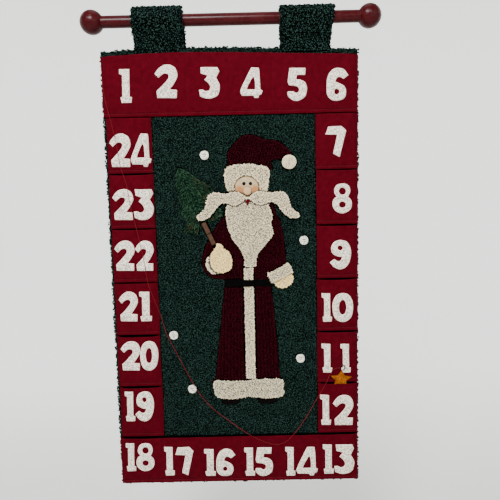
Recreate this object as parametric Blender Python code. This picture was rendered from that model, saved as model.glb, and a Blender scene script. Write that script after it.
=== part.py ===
"""A fabric advent calendar that hangs from a wooden rod, at its real size in metres.

+Z is up and the front faces -Y. The origin is the middle of the rod, where a hook carries it.
A boucle panel hangs from the rod by two tabs. Red felt pockets run round its edge, and a
bearded figure in a winter robe is applied in the middle. A star on a thread marks the day.
"""

import math

import bmesh
import bpy
from mathutils import Matrix, Vector

# Gap between pieces that touch, and between cloth layers
LAYER_GAP = 0.0003

# Rod and its two ball ends
ROD_DIAMETER = 0.019
BALL_DIAMETER = 0.0375
BALL_OVERHANG = 0.01525
SOCKET_DEPTH = 0.015
SOCKET_FLAT = 0.0008
ROD_CHAMFER = 0.001

# Tabs that loop round the rod
TAB_WIDTH = 0.080
TAB_THICKNESS = 0.0120
TAB_SLACK = 0.0006
TAB_DROP = 0.046
TAB_PINCH = 0.026
TAB_PRESSED = 0.0046
# How far each tab's middle is from the panel's, as a share of the panel's width
LEFT_TAB_SHARE = -0.268
RIGHT_TAB_SHARE = 0.299
REST_ALONG_ROD = -0.0035

# Panel
PANEL_WIDTH = 0.406
PANEL_CORNER = 0.006
BOUCLE_THICKNESS = 0.0047
LINING_THICKNESS = 0.0015
LINING_INSET = 0.002
SWING_CLEARANCE = 0.0006
MOUTH_MARGIN = 0.009

# Pockets
FELT = 0.0015
SIDE_SEAM = 0.002
BOTTOM_SEAM = 0.005
RAMP_WIDTH = 0.006
POCKET_GAPE = 0.0052
TOP_STRIP_HEIGHT = 0.092
SIDE_POCKET_PITCH = 0.089
BOTTOM_STRIP_HEIGHT = 0.0845
ROW_GAP = 0.0015
LEFT_COLUMN_WIDTH = 0.072
LEFT_COLUMN_INSET = 0.0035
RIGHT_COLUMN_WIDTH = 0.0675
POCKETS_ACROSS = 6
POCKETS_DOWN = 6
STAR_POCKET_ROW = 5
# How a pocket's front lifts off the panel: (share of the ramp's width, share of the gape)
RAMP_SHARES = [(0.0, 0.0), (0.45, 0.62), (1.0, 0.94), (2.2, 1.0)]
# The same up its height: (share of the height above the bottom seam, share of the gape)
RISE_SHARES = [(0.0, 0.0), (0.06, 0.20), (0.20, 0.60), (0.40, 0.85), (1.0, 1.0)]

# The bearded figure: each piece's own width and height, and where it sits
FIGURE_X = 0.024
FIGURE_MARGIN = 0.0315
CLOTH = 0.0020
FUR = 0.0030
TRIM_FUR = 0.0025
EDGE_ROUND = 0.0007
CAP_WIDTH = 0.104
CAP_HEIGHT = 0.057
CAP_LEAN = 0.022
BRIM_WIDTH = 0.075
BRIM_HEIGHT = 0.047
BRIM_LAP = 0.011
POMPOM_DIAMETER = 0.024
POMPOM_THICKNESS = 0.006
FACE_WIDTH = 0.050
FACE_HEIGHT = 0.046
FACE_DROP = 0.014
EYE_DIAMETER = 0.0042
EYE_SPACING = 0.0105
EYE_HEIGHT = 0.0016
NOSE_DIAMETER = 0.0135
NOSE_HEIGHT = 0.0065
MOUTH_WIDTH = 0.0065
MOUTH_HEIGHT = 0.0085
BEARD_WIDTH = 0.078
BEARD_HEIGHT = 0.113
BEARD_DROP = 0.007
MOUSTACHE_WIDTH = 0.166
MOUSTACHE_HEIGHT = 0.046
MOUSTACHE_LIFT = 0.010
ROBE_WIDTH = 0.137
ROBE_HEIGHT = 0.298
ROBE_OFFSET = -0.0085
COLLAR_DROP = 0.0035
BAND_WIDTH = 0.0165
BAND_OFFSET = -0.001
BELT_HEIGHT = 0.0115
BELT_THICKNESS = 0.001
HEM_WIDTH = 0.117
HEM_HEIGHT = 0.0345
HEM_LAP = 0.0030
HEM_OFFSET = -0.0055
BOOT_WIDTH = 0.030
BOOT_HEIGHT = 0.039
BOOT_SPACING = 0.062
MITTEN_WIDTH = 0.037
MITTEN_HEIGHT = 0.046
CUFF_WIDTH = 0.036
CUFF_HEIGHT = 0.036
CUFF_REACH = 0.0080
RIGHT_CUFF_LENGTH = 0.041
RIGHT_CUFF_WIDTH = 0.018
RIGHT_CUFF_TILT = 27
RIGHT_MITTEN_LENGTH = 0.034
RIGHT_MITTEN_WIDTH = 0.028
RIGHT_MITTEN_DROP = 0.013
TREE_WIDTH = 0.058
TREE_HEIGHT = 0.100
TREE_TILT = 24
TRUNK_WIDTH = 0.0075
TRUNK_LENGTH = 0.040
TRUNK_TUCK = 0.006
TREE_GRIP_OUT = 0.0110
TREE_GRIP_UP = 0.0235

CAP_SHARES = [
    (0.02, 0.0), (0.0, 0.25), (0.0, 0.52), (0.11, 0.79), (0.22, 0.96), (0.35, 1.0),
    (0.47, 0.95), (0.58, 0.86), (0.71, 0.84), (0.83, 0.75), (0.93, 0.58), (1.0, 0.38),
    (0.96, 0.23), (0.85, 0.26), (0.73, 0.31), (0.66, 0.19), (0.64, 0.0),
]
BRIM_SHARES = [
    (0.10, 0.0), (0.02, 0.34), (0.0, 0.64), (0.06, 0.87), (0.24, 0.97), (0.47, 1.0),
    (0.72, 0.96), (0.92, 0.88), (1.0, 0.68), (0.97, 0.38), (0.92, 0.0), (0.76, 0.0),
    (0.75, 0.28), (0.66, 0.49), (0.50, 0.59), (0.34, 0.52), (0.23, 0.32), (0.22, 0.0),
]
BEARD_SHARES = [
    (0.08, 0.96), (0.01, 0.84), (0.0, 0.71), (0.04, 0.56), (0.12, 0.41), (0.27, 0.26),
    (0.36, 0.11), (0.385, 0.0), (0.60, 0.0), (0.63, 0.11), (0.71, 0.22), (0.86, 0.34),
    (1.0, 0.48), (0.95, 0.61), (0.985, 0.71), (0.93, 0.84), (0.86, 0.96), (0.66, 1.0),
    (0.46, 1.0), (0.26, 1.0),
]
# One half, from the middle of the top round to the middle of the bottom
MOUSTACHE_SHARES = [
    (0.0, 0.80), (0.11, 0.93), (0.25, 1.0), (0.40, 0.95), (0.55, 0.97), (0.71, 0.96),
    (0.79, 0.79), (0.83, 0.52), (0.90, 0.32), (1.0, 0.20), (0.985, 0.03), (0.88, 0.0),
    (0.73, 0.13), (0.62, 0.37), (0.52, 0.56), (0.40, 0.58), (0.28, 0.50), (0.15, 0.55),
    (0.06, 0.68), (0.0, 0.71),
]
ROBE_SHARES = [
    (0.36, 1.0), (0.27, 0.93), (0.17, 0.87), (0.08, 0.80), (0.015, 0.73), (0.0, 0.665),
    (0.05, 0.615), (0.15, 0.588), (0.265, 0.580), (0.262, 0.540), (0.197, 0.30),
    (0.12, 0.02), (0.13, 0.0), (0.90, 0.0), (0.91, 0.02), (0.87, 0.30), (0.825, 0.540),
    (0.835, 0.585), (0.94, 0.62), (1.0, 0.665), (0.993, 0.777), (0.95, 0.885),
    (0.89, 0.948), (0.81, 1.0),
]
WAIST_SHARE = 0.560
WAIST_LEFT_SHARE = 0.27
WAIST_RIGHT_SHARE = 0.82
# How far out and down the mitten and the cuff sit, as shares of the robe's width and height
MITTEN_REACH_SHARE = 0.332
MITTEN_DROP_SHARE = 0.302
RIGHT_CUFF_REACH_SHARE = 0.372
RIGHT_CUFF_DROP_SHARE = 0.386
HEM_SHARES = [
    (0.02, 0.97), (0.30, 0.93), (0.55, 0.97), (0.97, 1.0), (1.0, 0.5), (0.995, 0.12),
    (0.76, 0.0), (0.52, 0.11), (0.30, 0.0), (0.05, 0.10), (0.0, 0.5),
]
BOOT_SHARES = [
    (0.25, 1.0), (0.85, 1.0), (0.92, 0.55), (1.0, 0.20), (0.88, 0.02), (0.5, 0.0),
    (0.10, 0.04), (0.0, 0.22), (0.18, 0.55),
]
MITTEN_SHARES = [
    (0.0, 0.43), (0.08, 0.68), (0.24, 0.83), (0.33, 0.97), (0.52, 0.97), (0.62, 0.84),
    (0.86, 0.71), (1.0, 0.48), (0.97, 0.21), (0.73, 0.02), (0.38, 0.0), (0.11, 0.15),
]
MOUTH_SHARES = [(0.0, 0.93), (0.5, 1.0), (1.0, 0.93), (0.72, 0.42), (0.5, 0.0), (0.28, 0.42)]
# Right side of the fir from its tip down, straight-edged: (share of half the width, share of the height)
FIR_TIER_SHARES = [(0.0, 1.0), (0.30, 0.74), (0.21, 0.75), (0.56, 0.46), (0.42, 0.48),
                   (0.80, 0.20), (0.62, 0.22), (1.0, 0.0)]

# Snow dots: (share of the window's width from its left, share of its height from its top)
DOT_DIAMETER = 0.0158
DOT_SHARES = [(0.318, 0.117), (0.922, 0.381), (0.087, 0.671), (0.193, 0.847), (0.892, 0.754)]

# Star, its loop and its thread
STAR_WIDTH = 0.0365
STAR_HEIGHT = 0.0310
STAR_THICKNESS = 0.0025
STAR_INNER_SHARE = 0.50
STAR_TILT = 8.3
STAR_SWAY = 4
STAR_PROUD = 0.0052
STAR_RISE = 0.0075
STAR_X_SHARE = 0.575
STAR_TIP_CUT = 0.0008
LOOP_DIAMETER = 0.0095
LOOP_WIRE = 0.0012
THREAD_DIAMETER = 0.001

# The thread's route, from the corner where it is sewn in, down and round to the star
THREAD_ROUTE = [
    (-0.2020, -0.0060, -0.0600), (-0.2017, -0.0064, -0.0720), (-0.2008, -0.0076, -0.0900),
    (-0.1985, -0.0092, -0.1160), (-0.1900, -0.0112, -0.1540), (-0.1830, -0.0112, -0.1900),
    (-0.1785, -0.0112, -0.2240), (-0.1700, -0.0112, -0.2540), (-0.1655, -0.0112, -0.2870),
    (-0.1570, -0.0112, -0.3270), (-0.1480, -0.0112, -0.3740), (-0.1425, -0.0111, -0.4150),
    (-0.1330, -0.0102, -0.4450), (-0.1245, -0.0088, -0.4700), (-0.1155, -0.0074, -0.5030),
    (-0.0985, -0.0068, -0.5400), (-0.0800, -0.0066, -0.5790), (-0.0640, -0.0066, -0.6080),
    (-0.0430, -0.0066, -0.6340), (-0.0190, -0.0074, -0.6530), (0.0000, -0.0092, -0.6670),
    (0.0190, -0.0110, -0.6800), (0.0400, -0.0113, -0.6910), (0.0600, -0.0113, -0.6975),
    (0.0770, -0.0113, -0.6950), (0.0900, -0.0112, -0.6840), (0.1030, -0.0108, -0.6680),
    (0.1170, -0.0106, -0.6470), (0.1300, -0.0109, -0.6240), (0.1420, -0.0116, -0.6040),
    (0.1500, -0.0121, -0.5880), (0.1560, -0.0125, -0.5745), (0.1630, -0.0128, -0.5668),
    (0.1716, -0.0128, -0.5650),
]
THREAD_POINTS = 78

# Facets
ROUND_STEPS = 36
BALL_STEPS = 11
ARC_STEPS = 10
DISC_STEPS = 14
DOME_STEPS = 4
CORNER_STEPS = 4
LOOP_STEPS = 14
TUBE_RESOLUTION = 2
OUTLINE_STEPS = 2

# Layers in front of the panel's middle plane, worked out from the sizes above
SHEET_THICKNESS = BOUCLE_THICKNESS + LAYER_GAP + LINING_THICKNESS
PANEL_FRONT = SHEET_THICKNESS / 2
FIRST_LAYER = PANEL_FRONT + LAYER_GAP
FELT_FRONT = FIRST_LAYER + FELT
CLOTH_FRONT = FIRST_LAYER + CLOTH
SECOND_LAYER = CLOTH_FRONT + LAYER_GAP
BAND_FRONT = SECOND_LAYER + TRIM_FUR
THIRD_LAYER = SECOND_LAYER + FUR + LAYER_GAP
FOURTH_LAYER = BAND_FRONT + LAYER_GAP

# Heights of the panel's parts
PANEL_TOP = -(TAB_DROP + SWING_CLEARANCE)
STRIP_TOP = PANEL_TOP - MOUTH_MARGIN
WINDOW_TOP = STRIP_TOP - TOP_STRIP_HEIGHT
WINDOW_BOTTOM = WINDOW_TOP - POCKETS_DOWN * SIDE_POCKET_PITCH
PANEL_BOTTOM = WINDOW_BOTTOM - BOTTOM_STRIP_HEIGHT
WINDOW_LEFT = -PANEL_WIDTH / 2 + LEFT_COLUMN_INSET + LEFT_COLUMN_WIDTH
WINDOW_RIGHT = PANEL_WIDTH / 2 - RIGHT_COLUMN_WIDTH

# Colours as red, green and blue
RED_WOOD = (0.16, 0.012, 0.016)
GREEN = (0.008, 0.045, 0.035)
LINING_GREEN = (0.012, 0.05, 0.035)
RED_FELT = (0.28, 0.004, 0.014)
ROBE_RED = (0.10, 0.004, 0.014)
CREAM = (0.68, 0.61, 0.47)
SKIN = (0.72, 0.52, 0.38)
WHITE_FELT = (0.75, 0.74, 0.70)
BLACK = (0.01, 0.01, 0.012)
BOOT_BROWN = (0.05, 0.012, 0.012)
FIR_GREEN = (0.02, 0.09, 0.045)
BROWN = (0.16, 0.07, 0.035)
MOUTH_RED = (0.45, 0.01, 0.02)
STAR_GOLD = (0.68, 0.28, 0.03)
THREAD_RED = (0.24, 0.01, 0.02)


def clear_scene():
    for obj in list(bpy.data.objects):
        bpy.data.objects.remove(obj, do_unlink=True)


def material(name, colour, roughness):
    found = bpy.data.materials.get(name)
    if found:
        return found
    made = bpy.data.materials.new(name)
    made.use_nodes = True
    shader = made.node_tree.nodes["Principled BSDF"]
    shader.inputs["Base Color"].default_value = (*colour, 1.0)
    shader.inputs["Roughness"].default_value = roughness
    shader.inputs["Metallic"].default_value = 0.0
    made.diffuse_color = (*colour, 1.0)
    return made


def joint_empty(name, parent=None, location=(0.0, 0.0, 0.0)):
    empty = bpy.data.objects.new(name, None)
    bpy.context.scene.collection.objects.link(empty)
    empty.location = location
    empty.parent = parent
    return empty


def place(name, data, finish, parent, location=(0.0, 0.0, 0.0)):
    """A new object for the mesh or curve, hung from its body's empty."""
    data.materials.append(finish)
    obj = bpy.data.objects.new(name, data)
    bpy.context.scene.collection.objects.link(obj)
    obj.parent = parent
    obj.location = location
    return obj


def mesh_of(name, bm, smooth_angle=35):
    bmesh.ops.recalc_face_normals(bm, faces=bm.faces)
    mesh = bpy.data.meshes.new(name)
    bm.to_mesh(mesh)
    bm.free()
    mesh.shade_smooth()
    mesh.set_sharp_from_angle(angle=math.radians(smooth_angle))
    return mesh


def turned(name, profile, steps, axis):
    """A closed solid of revolution from (distance along the axis, radius) points that start and end on it."""
    bm = bmesh.new()
    side = Vector((0, 0, 1)) if axis.x else Vector((1, 0, 0))
    verts = [bm.verts.new(axis * along + side * radius) for along, radius in profile]
    edges = [bm.edges.new(pair) for pair in zip(verts, verts[1:])]
    bmesh.ops.spin(bm, geom=verts + edges, cent=(0, 0, 0), axis=axis, angle=math.tau,
                   steps=steps, use_merge=True)
    bmesh.ops.remove_doubles(bm, verts=bm.verts, dist=LAYER_GAP / ROUND_STEPS)
    return mesh_of(name, bm)


def extruded(name, bm, faces, push):
    """Closes the flat faces into a solid by pushing a copy of them along the vector."""
    made = bmesh.ops.extrude_face_region(bm, geom=faces, use_keep_orig=True)
    moved = [item for item in made["geom"] if isinstance(item, bmesh.types.BMVert)]
    bmesh.ops.translate(bm, verts=moved, vec=push)
    return mesh_of(name, bm)


def smooth_loop(points, steps=OUTLINE_STEPS):
    """A closed Catmull-Rom curve through the points, with this many stretches between two of them."""
    count = len(points)
    out = []
    for i in range(count):
        a, b, c, d = (Vector(points[(i + k - 1) % count]) for k in range(4))
        for step in range(steps):
            t = step / steps
            out.append((b * 2 + (c - a) * t + (a * 2 - b * 5 + c * 4 - d) * t * t
                        + (b * 3 - a - c * 3 + d) * t * t * t) / 2)
    return [(p.x, p.y) for p in out]


def scaled(shares, left, bottom, width, height):
    return [(left + u * width, bottom + v * height) for u, v in shares]


def ellipse(centre, width, height, steps=DISC_STEPS):
    angles = [math.tau * k / steps for k in range(steps)]
    return [(centre[0] + math.cos(a) * width / 2, centre[1] + math.sin(a) * height / 2)
            for a in angles]


def turned_about(points, centre, degrees):
    turn = Matrix.Rotation(math.radians(degrees), 2)
    moved = [turn @ (Vector(p) - Vector(centre)) + Vector(centre) for p in points]
    return [(p.x, p.y) for p in moved]


def patch(name, outline, back, thickness, finish, parent):
    """A flat piece cut to the outline, its back this far in front of the middle plane."""
    xs, zs = zip(*outline)
    centre = Vector(((min(xs) + max(xs)) / 2, -back, (min(zs) + max(zs)) / 2))
    bm = bmesh.new()
    rim = [bm.verts.new((x - centre.x, 0, z - centre.z)) for x, z in outline]
    face = bm.faces.new(rim)
    made = bmesh.ops.extrude_face_region(bm, geom=[face], use_keep_orig=True)
    front = [item for item in made["geom"] if isinstance(item, bmesh.types.BMVert)]
    bmesh.ops.translate(bm, verts=front, vec=(0, -thickness, 0))
    edges = [e for e in bm.edges if all(v in front for v in e.verts)]
    bmesh.ops.bevel(bm, geom=edges, offset=min(EDGE_ROUND, thickness / 2), segments=1,
                    affect="EDGES", clamp_overlap=True)
    return place(name, mesh_of(name, bm), finish, parent, centre)


def dome(name, centre, diameter, height, back, finish, parent):
    """A half-round button or bead, its flat side towards the panel."""
    radius = diameter / 2
    arc = [math.pi / 2 * k / DOME_STEPS for k in range(DOME_STEPS + 1)]
    profile = [(0, 0)] + [(math.sin(a) * height, math.cos(a) * radius) for a in arc[:-1]]
    profile.append((height, 0))
    mesh = turned(name, profile, DISC_STEPS, Vector((0, -1, 0)))
    return place(name, mesh, finish, parent, (centre[0], -back, centre[1]))


def tube(name, points, diameter, finish, parent):
    """A round cord along the points, with flat closed ends."""
    curve = bpy.data.curves.new(name, "CURVE")
    curve.dimensions = "3D"
    curve.bevel_depth = diameter / 2
    curve.bevel_resolution = TUBE_RESOLUTION
    curve.use_fill_caps = True
    spline = curve.splines.new("POLY")
    spline.points.add(len(points) - 1)
    for point, place_at in zip(spline.points, points):
        point.co = (*place_at, 1)
    return place(name, curve, finish, parent)


def evenly_spaced(route, count):
    """This many points, an even distance apart, on a smooth curve through the route."""
    fine = []
    ends = [route[0], *route, route[-1]]
    for a, b, c, d in zip(ends, ends[1:], ends[2:], ends[3:]):
        a, b, c, d = Vector(a), Vector(b), Vector(c), Vector(d)
        for step in range(ARC_STEPS):
            t = step / ARC_STEPS
            fine.append((b * 2 + (c - a) * t + (a * 2 - b * 5 + c * 4 - d) * t * t
                         + (b * 3 - a - c * 3 + d) * t * t * t) / 2)
    fine.append(Vector(route[-1]))
    reach = [0.0]
    for p, q in zip(fine, fine[1:]):
        reach.append(reach[-1] + (q - p).length)
    out = []
    for k in range(count):
        wanted = reach[-1] * k / (count - 1)
        i = min(sum(r <= wanted for r in reach), len(fine) - 1)
        share = (wanted - reach[i - 1]) / (reach[i] - reach[i - 1])
        out.append(fine[i - 1].lerp(fine[i], share))
    return out


def build_rod(body):
    """The dowel and the two drilled balls that close its ends."""
    finish = material("red_painted_wood", RED_WOOD, 0.35)
    ball = BALL_DIAMETER / 2
    bore = ROD_DIAMETER / 2 + LAYER_GAP
    mouth = math.sqrt(ball**2 - (bore + SOCKET_FLAT) ** 2)
    ball_x = PANEL_WIDTH / 2 + BALL_OVERHANG
    rod_end = ball_x - mouth + SOCKET_DEPTH - LAYER_GAP
    rod = ROD_DIAMETER / 2
    profile = [(-rod_end, 0), (-rod_end, rod - ROD_CHAMFER), (-rod_end + ROD_CHAMFER, rod),
               (rod_end - ROD_CHAMFER, rod), (rod_end, rod - ROD_CHAMFER), (rod_end, 0)]
    place("dowel", turned("dowel", profile, ROUND_STEPS, Vector((1, 0, 0))), finish, body)

    first = math.atan2(bore + SOCKET_FLAT, -mouth)
    arc = [first * (1 - k / BALL_STEPS) for k in range(BALL_STEPS + 1)]
    shell = [(math.cos(a) * ball, math.sin(a) * ball) for a in arc[:-1]]
    profile = [(-mouth + SOCKET_DEPTH, 0), (-mouth + SOCKET_DEPTH, bore), (-mouth, bore)]
    profile += [*shell, (ball, 0)]
    for name, side in (("finial_left", -1), ("finial_right", 1)):
        mesh = turned(name, profile, ROUND_STEPS, Vector((side, 0, 0)))
        place(name, mesh, finish, body, (side * ball_x, 0, 0))


def teardrop(radius, half_width, depth, steps):
    """Points round a circle and down its tangents to a foot of this half width, at this depth."""
    reach = math.hypot(half_width, depth)
    start = math.atan2(-depth, half_width) + math.acos(radius / reach)
    sweep = math.pi - 2 * start
    return [(math.cos(start + sweep * k / steps) * radius,
             math.sin(start + sweep * k / steps) * radius) for k in range(steps + 1)]


def build_tab(name, centre_x, body):
    """A double boucle strap that goes over the rod, its two legs stitched together under it."""
    inner_radius = ROD_DIAMETER / 2 + TAB_SLACK
    steps = 2 * ARC_STEPS
    outer = teardrop(inner_radius + TAB_THICKNESS, TAB_PRESSED, TAB_PINCH + TAB_THICKNESS, steps)
    inner = teardrop(inner_radius, LAYER_GAP, TAB_PINCH, steps)
    foot = TAB_PINCH + TAB_THICKNESS
    outer += [(-TAB_PRESSED, -foot), (-TAB_PRESSED, -TAB_DROP), (TAB_PRESSED, -TAB_DROP),
              (TAB_PRESSED, -foot)]
    inner += [(-LAYER_GAP, -TAB_PINCH), (LAYER_GAP, -TAB_PINCH)]
    bm = bmesh.new()
    loops = []
    for outline in (outer, inner):
        rim = [bm.verts.new((-TAB_WIDTH / 2, y, z)) for y, z in outline]
        loops += [bm.edges.new((a, b)) for a, b in zip(rim, rim[1:] + rim[:1])]
    bmesh.ops.triangle_fill(bm, edges=loops, use_beauty=True)
    finish = material("green_boucle", GREEN, 0.95)
    mesh = extruded(name, bm, list(bm.faces), (TAB_WIDTH, 0, 0))
    place(name, mesh, finish, body, (centre_x, 0, 0))


def rounded_rectangle(left, bottom, right, top, radius):
    corners = [(right - radius, top - radius, 0), (left + radius, top - radius, 90),
               (left + radius, bottom + radius, 180), (right - radius, bottom + radius, 270)]
    out = []
    for x, z, start in corners:
        for k in range(CORNER_STEPS + 1):
            angle = math.radians(start + 90 * k / CORNER_STEPS)
            out.append((x + math.cos(angle) * radius, z + math.sin(angle) * radius))
    return out


def build_panel(body):
    """The boucle front and the plain lining behind it."""
    half = PANEL_WIDTH / 2
    front = rounded_rectangle(-half, PANEL_BOTTOM, half, PANEL_TOP, PANEL_CORNER)
    back_of_boucle = PANEL_FRONT - BOUCLE_THICKNESS
    patch("backing_panel", front, back_of_boucle, BOUCLE_THICKNESS,
          material("green_boucle", GREEN, 0.95), body)
    inset = LINING_INSET
    lining = rounded_rectangle(-half + inset, PANEL_BOTTOM + inset, half - inset,
                               PANEL_TOP - inset, PANEL_CORNER)
    patch("lining", lining, -PANEL_FRONT, LINING_THICKNESS,
          material("green_cotton", LINING_GREEN, 0.9), body)


def bulge_stations(width):
    """(distance from the left seam, share of the gape) across one pocket."""
    rise = [(SIDE_SEAM + share * RAMP_WIDTH, lift) for share, lift in RAMP_SHARES]
    fall = [(width - along, lift) for along, lift in reversed(rise)]
    return rise + fall


def rise_stations(height):
    """(height, share of the gape) from a pocket's bottom edge to its mouth."""
    room = height - BOTTOM_SEAM
    return [(0.0, 0.0)] + [(BOTTOM_SEAM + share * room, lift) for share, lift in RISE_SHARES]


def pocket_sheet(name, columns, rows, finish, body, corner):
    """A felt sheet that lies on the panel at its seams and stands off it between them."""
    bm = bmesh.new()
    back, front = [], []
    for z, lift_up in rows:
        depths = [lift_across * lift_up * POCKET_GAPE for _, lift_across in columns]
        back.append([bm.verts.new((x, -depth, z)) for (x, _), depth in zip(columns, depths)])
        front.append([bm.verts.new((x, -depth - FELT, z))
                      for (x, _), depth in zip(columns, depths)])
    for j in range(len(rows) - 1):
        for i in range(len(columns) - 1):
            bm.faces.new((back[j][i], back[j][i + 1], back[j + 1][i + 1], back[j + 1][i]))
            bm.faces.new((front[j][i], front[j + 1][i], front[j + 1][i + 1], front[j][i + 1]))
    rim_back = back[0] + [row[-1] for row in back[1:-1]] + back[-1][::-1]
    rim_front = front[0] + [row[-1] for row in front[1:-1]] + front[-1][::-1]
    rim_back += [row[0] for row in back[-2:0:-1]]
    rim_front += [row[0] for row in front[-2:0:-1]]
    for i, vert in enumerate(rim_back):
        j = (i + 1) % len(rim_back)
        bm.faces.new((vert, rim_front[i], rim_front[j], rim_back[j]))
    place(name, mesh_of(name, bm), finish, body, (corner[0], -FIRST_LAYER, corner[1]))


def build_strip(name, bottom, height, body):
    """One long felt strip, stitched into six pockets."""
    finish = material("red_felt", RED_FELT, 0.9)
    pitch = PANEL_WIDTH / POCKETS_ACROSS
    columns = [(0.0, 0.0)]
    for k in range(POCKETS_ACROSS):
        columns += [(k * pitch + along, lift) for along, lift in bulge_stations(pitch)]
    columns.append((PANEL_WIDTH, 0.0))
    pocket_sheet(name, columns, rise_stations(height), finish, body, (-PANEL_WIDTH / 2, bottom))


def build_side_pockets(body):
    """Six pockets down each side, each its own felt piece."""
    finish = material("red_felt", RED_FELT, 0.9)
    height = SIDE_POCKET_PITCH - ROW_GAP
    left_edge = -PANEL_WIDTH / 2 + LEFT_COLUMN_INSET
    for row in range(POCKETS_DOWN):
        bottom = WINDOW_TOP - (row + 1) * SIDE_POCKET_PITCH
        sides = ((f"pocket_{24 - row:02d}", left_edge, LEFT_COLUMN_WIDTH),
                 (f"pocket_{7 + row:02d}", WINDOW_RIGHT, RIGHT_COLUMN_WIDTH))
        for name, left, width in sides:
            columns = [(0.0, 0.0), *bulge_stations(width), (width, 0.0)]
            pocket_sheet(name, columns, rise_stations(height), finish, body, (left, bottom))


def build_head(body):
    """Cap, fur brim, face and what is on it. Returns the height of the brim's lower edge."""
    cream = material("cream_fur", CREAM, 0.95)
    robe_red = material("robe_cloth", ROBE_RED, 0.95)
    felt = material("face_felt", SKIN, 0.9)
    cap_top = WINDOW_TOP - FIGURE_MARGIN
    cap_bottom = cap_top - CAP_HEIGHT
    cap_left = FIGURE_X - CAP_WIDTH / 2 + CAP_LEAN
    cap = smooth_loop(scaled(CAP_SHARES, cap_left, cap_bottom, CAP_WIDTH, CAP_HEIGHT))
    patch("cap", cap, FIRST_LAYER, CLOTH, robe_red, body)
    pompom = (cap_left + CAP_WIDTH - POMPOM_DIAMETER / 4, cap_bottom + POMPOM_DIAMETER / 2)
    dome("pompom", pompom, POMPOM_DIAMETER, POMPOM_THICKNESS, SECOND_LAYER, cream, body)

    brim_bottom = cap_bottom + BRIM_LAP - BRIM_HEIGHT
    brim = scaled(BRIM_SHARES, FIGURE_X - BRIM_WIDTH / 2, brim_bottom, BRIM_WIDTH, BRIM_HEIGHT)
    patch("cap_brim", smooth_loop(brim), SECOND_LAYER, FUR, cream, body)

    face_top = cap_bottom + BRIM_LAP - FACE_DROP
    face = (FIGURE_X, face_top - FACE_HEIGHT / 2)
    patch("face", ellipse(face, FACE_WIDTH, FACE_HEIGHT), FIRST_LAYER, FELT, felt, body)
    on_face = FELT_FRONT + LAYER_GAP
    black = material("black_bead", BLACK, 0.2)
    for name, side in (("eye_left", -1), ("eye_right", 1)):
        eye = (FIGURE_X + side * EYE_SPACING / 2, face[1] + EYE_SPACING / 2)
        dome(name, eye, EYE_DIAMETER, EYE_HEIGHT, on_face, black, body)
    nose = (FIGURE_X, face[1] - NOSE_DIAMETER / 2)
    dome("nose", nose, NOSE_DIAMETER, NOSE_HEIGHT, on_face, felt, body)
    return brim_bottom, face[1] - FACE_HEIGHT / 2


def build_beard(brim_bottom, body):
    """Beard, moustache and the small mouth between them. Returns the beard's lowest edge."""
    cream = material("cream_fur", CREAM, 0.95)
    beard_top = brim_bottom - BEARD_DROP
    beard_bottom = beard_top - BEARD_HEIGHT
    beard_left = FIGURE_X - BEARD_WIDTH / 2 + BAND_WIDTH / 6
    beard = smooth_loop(scaled(BEARD_SHARES, beard_left, beard_bottom, BEARD_WIDTH, BEARD_HEIGHT))
    patch("beard", beard, SECOND_LAYER, FUR, cream, body)

    bottom = beard_top + MOUSTACHE_LIFT - MOUSTACHE_HEIGHT
    half = MOUSTACHE_WIDTH / 2
    right = scaled(MOUSTACHE_SHARES, FIGURE_X, bottom, half, MOUSTACHE_HEIGHT)
    left = [(2 * FIGURE_X - x, z) for x, z in right[-2:0:-1]]
    patch("moustache", smooth_loop(right + left), THIRD_LAYER, FUR, cream, body)

    mouth_top = bottom + MOUSTACHE_SHARES[-1][1] * MOUSTACHE_HEIGHT - 2 * LAYER_GAP
    mouth = scaled(MOUTH_SHARES, FIGURE_X - MOUTH_WIDTH / 2, mouth_top - MOUTH_HEIGHT,
                   MOUTH_WIDTH, MOUTH_HEIGHT)
    patch("mouth", smooth_loop(mouth), THIRD_LAYER, FELT, material("mouth_felt", MOUTH_RED, 0.9), body)
    return min(z for _, z in beard)


def build_belt(robe_left, height, body):
    """A strap across the waist that steps up over the fur band."""
    left = robe_left + WAIST_LEFT_SHARE * ROBE_WIDTH
    right = robe_left + WAIST_RIGHT_SHARE * ROBE_WIDTH
    band_left = FIGURE_X + BAND_OFFSET - BAND_WIDTH / 2 - LAYER_GAP
    band_right = FIGURE_X + BAND_OFFSET + BAND_WIDTH / 2 + LAYER_GAP
    step = FOURTH_LAYER - SECOND_LAYER
    line = [(left, 0.0), (band_left - step, 0.0), (band_left - BELT_THICKNESS, step),
            (band_right + BELT_THICKNESS, step), (band_right + step, 0.0), (right, 0.0)]
    bm = bmesh.new()
    under = [bm.verts.new((x, -lift, 0)) for x, lift in line]
    over = [bm.verts.new((x, -lift - BELT_THICKNESS, 0)) for x, lift in line]
    faces = [bm.faces.new((under[i], under[i + 1], over[i + 1], over[i]))
             for i in range(len(line) - 1)]
    mesh = extruded("belt", bm, faces, (0, 0, BELT_HEIGHT))
    place("belt", mesh, material("black_felt", BLACK, 0.8), body,
          (0, -SECOND_LAYER, height - BELT_HEIGHT / 2))


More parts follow.
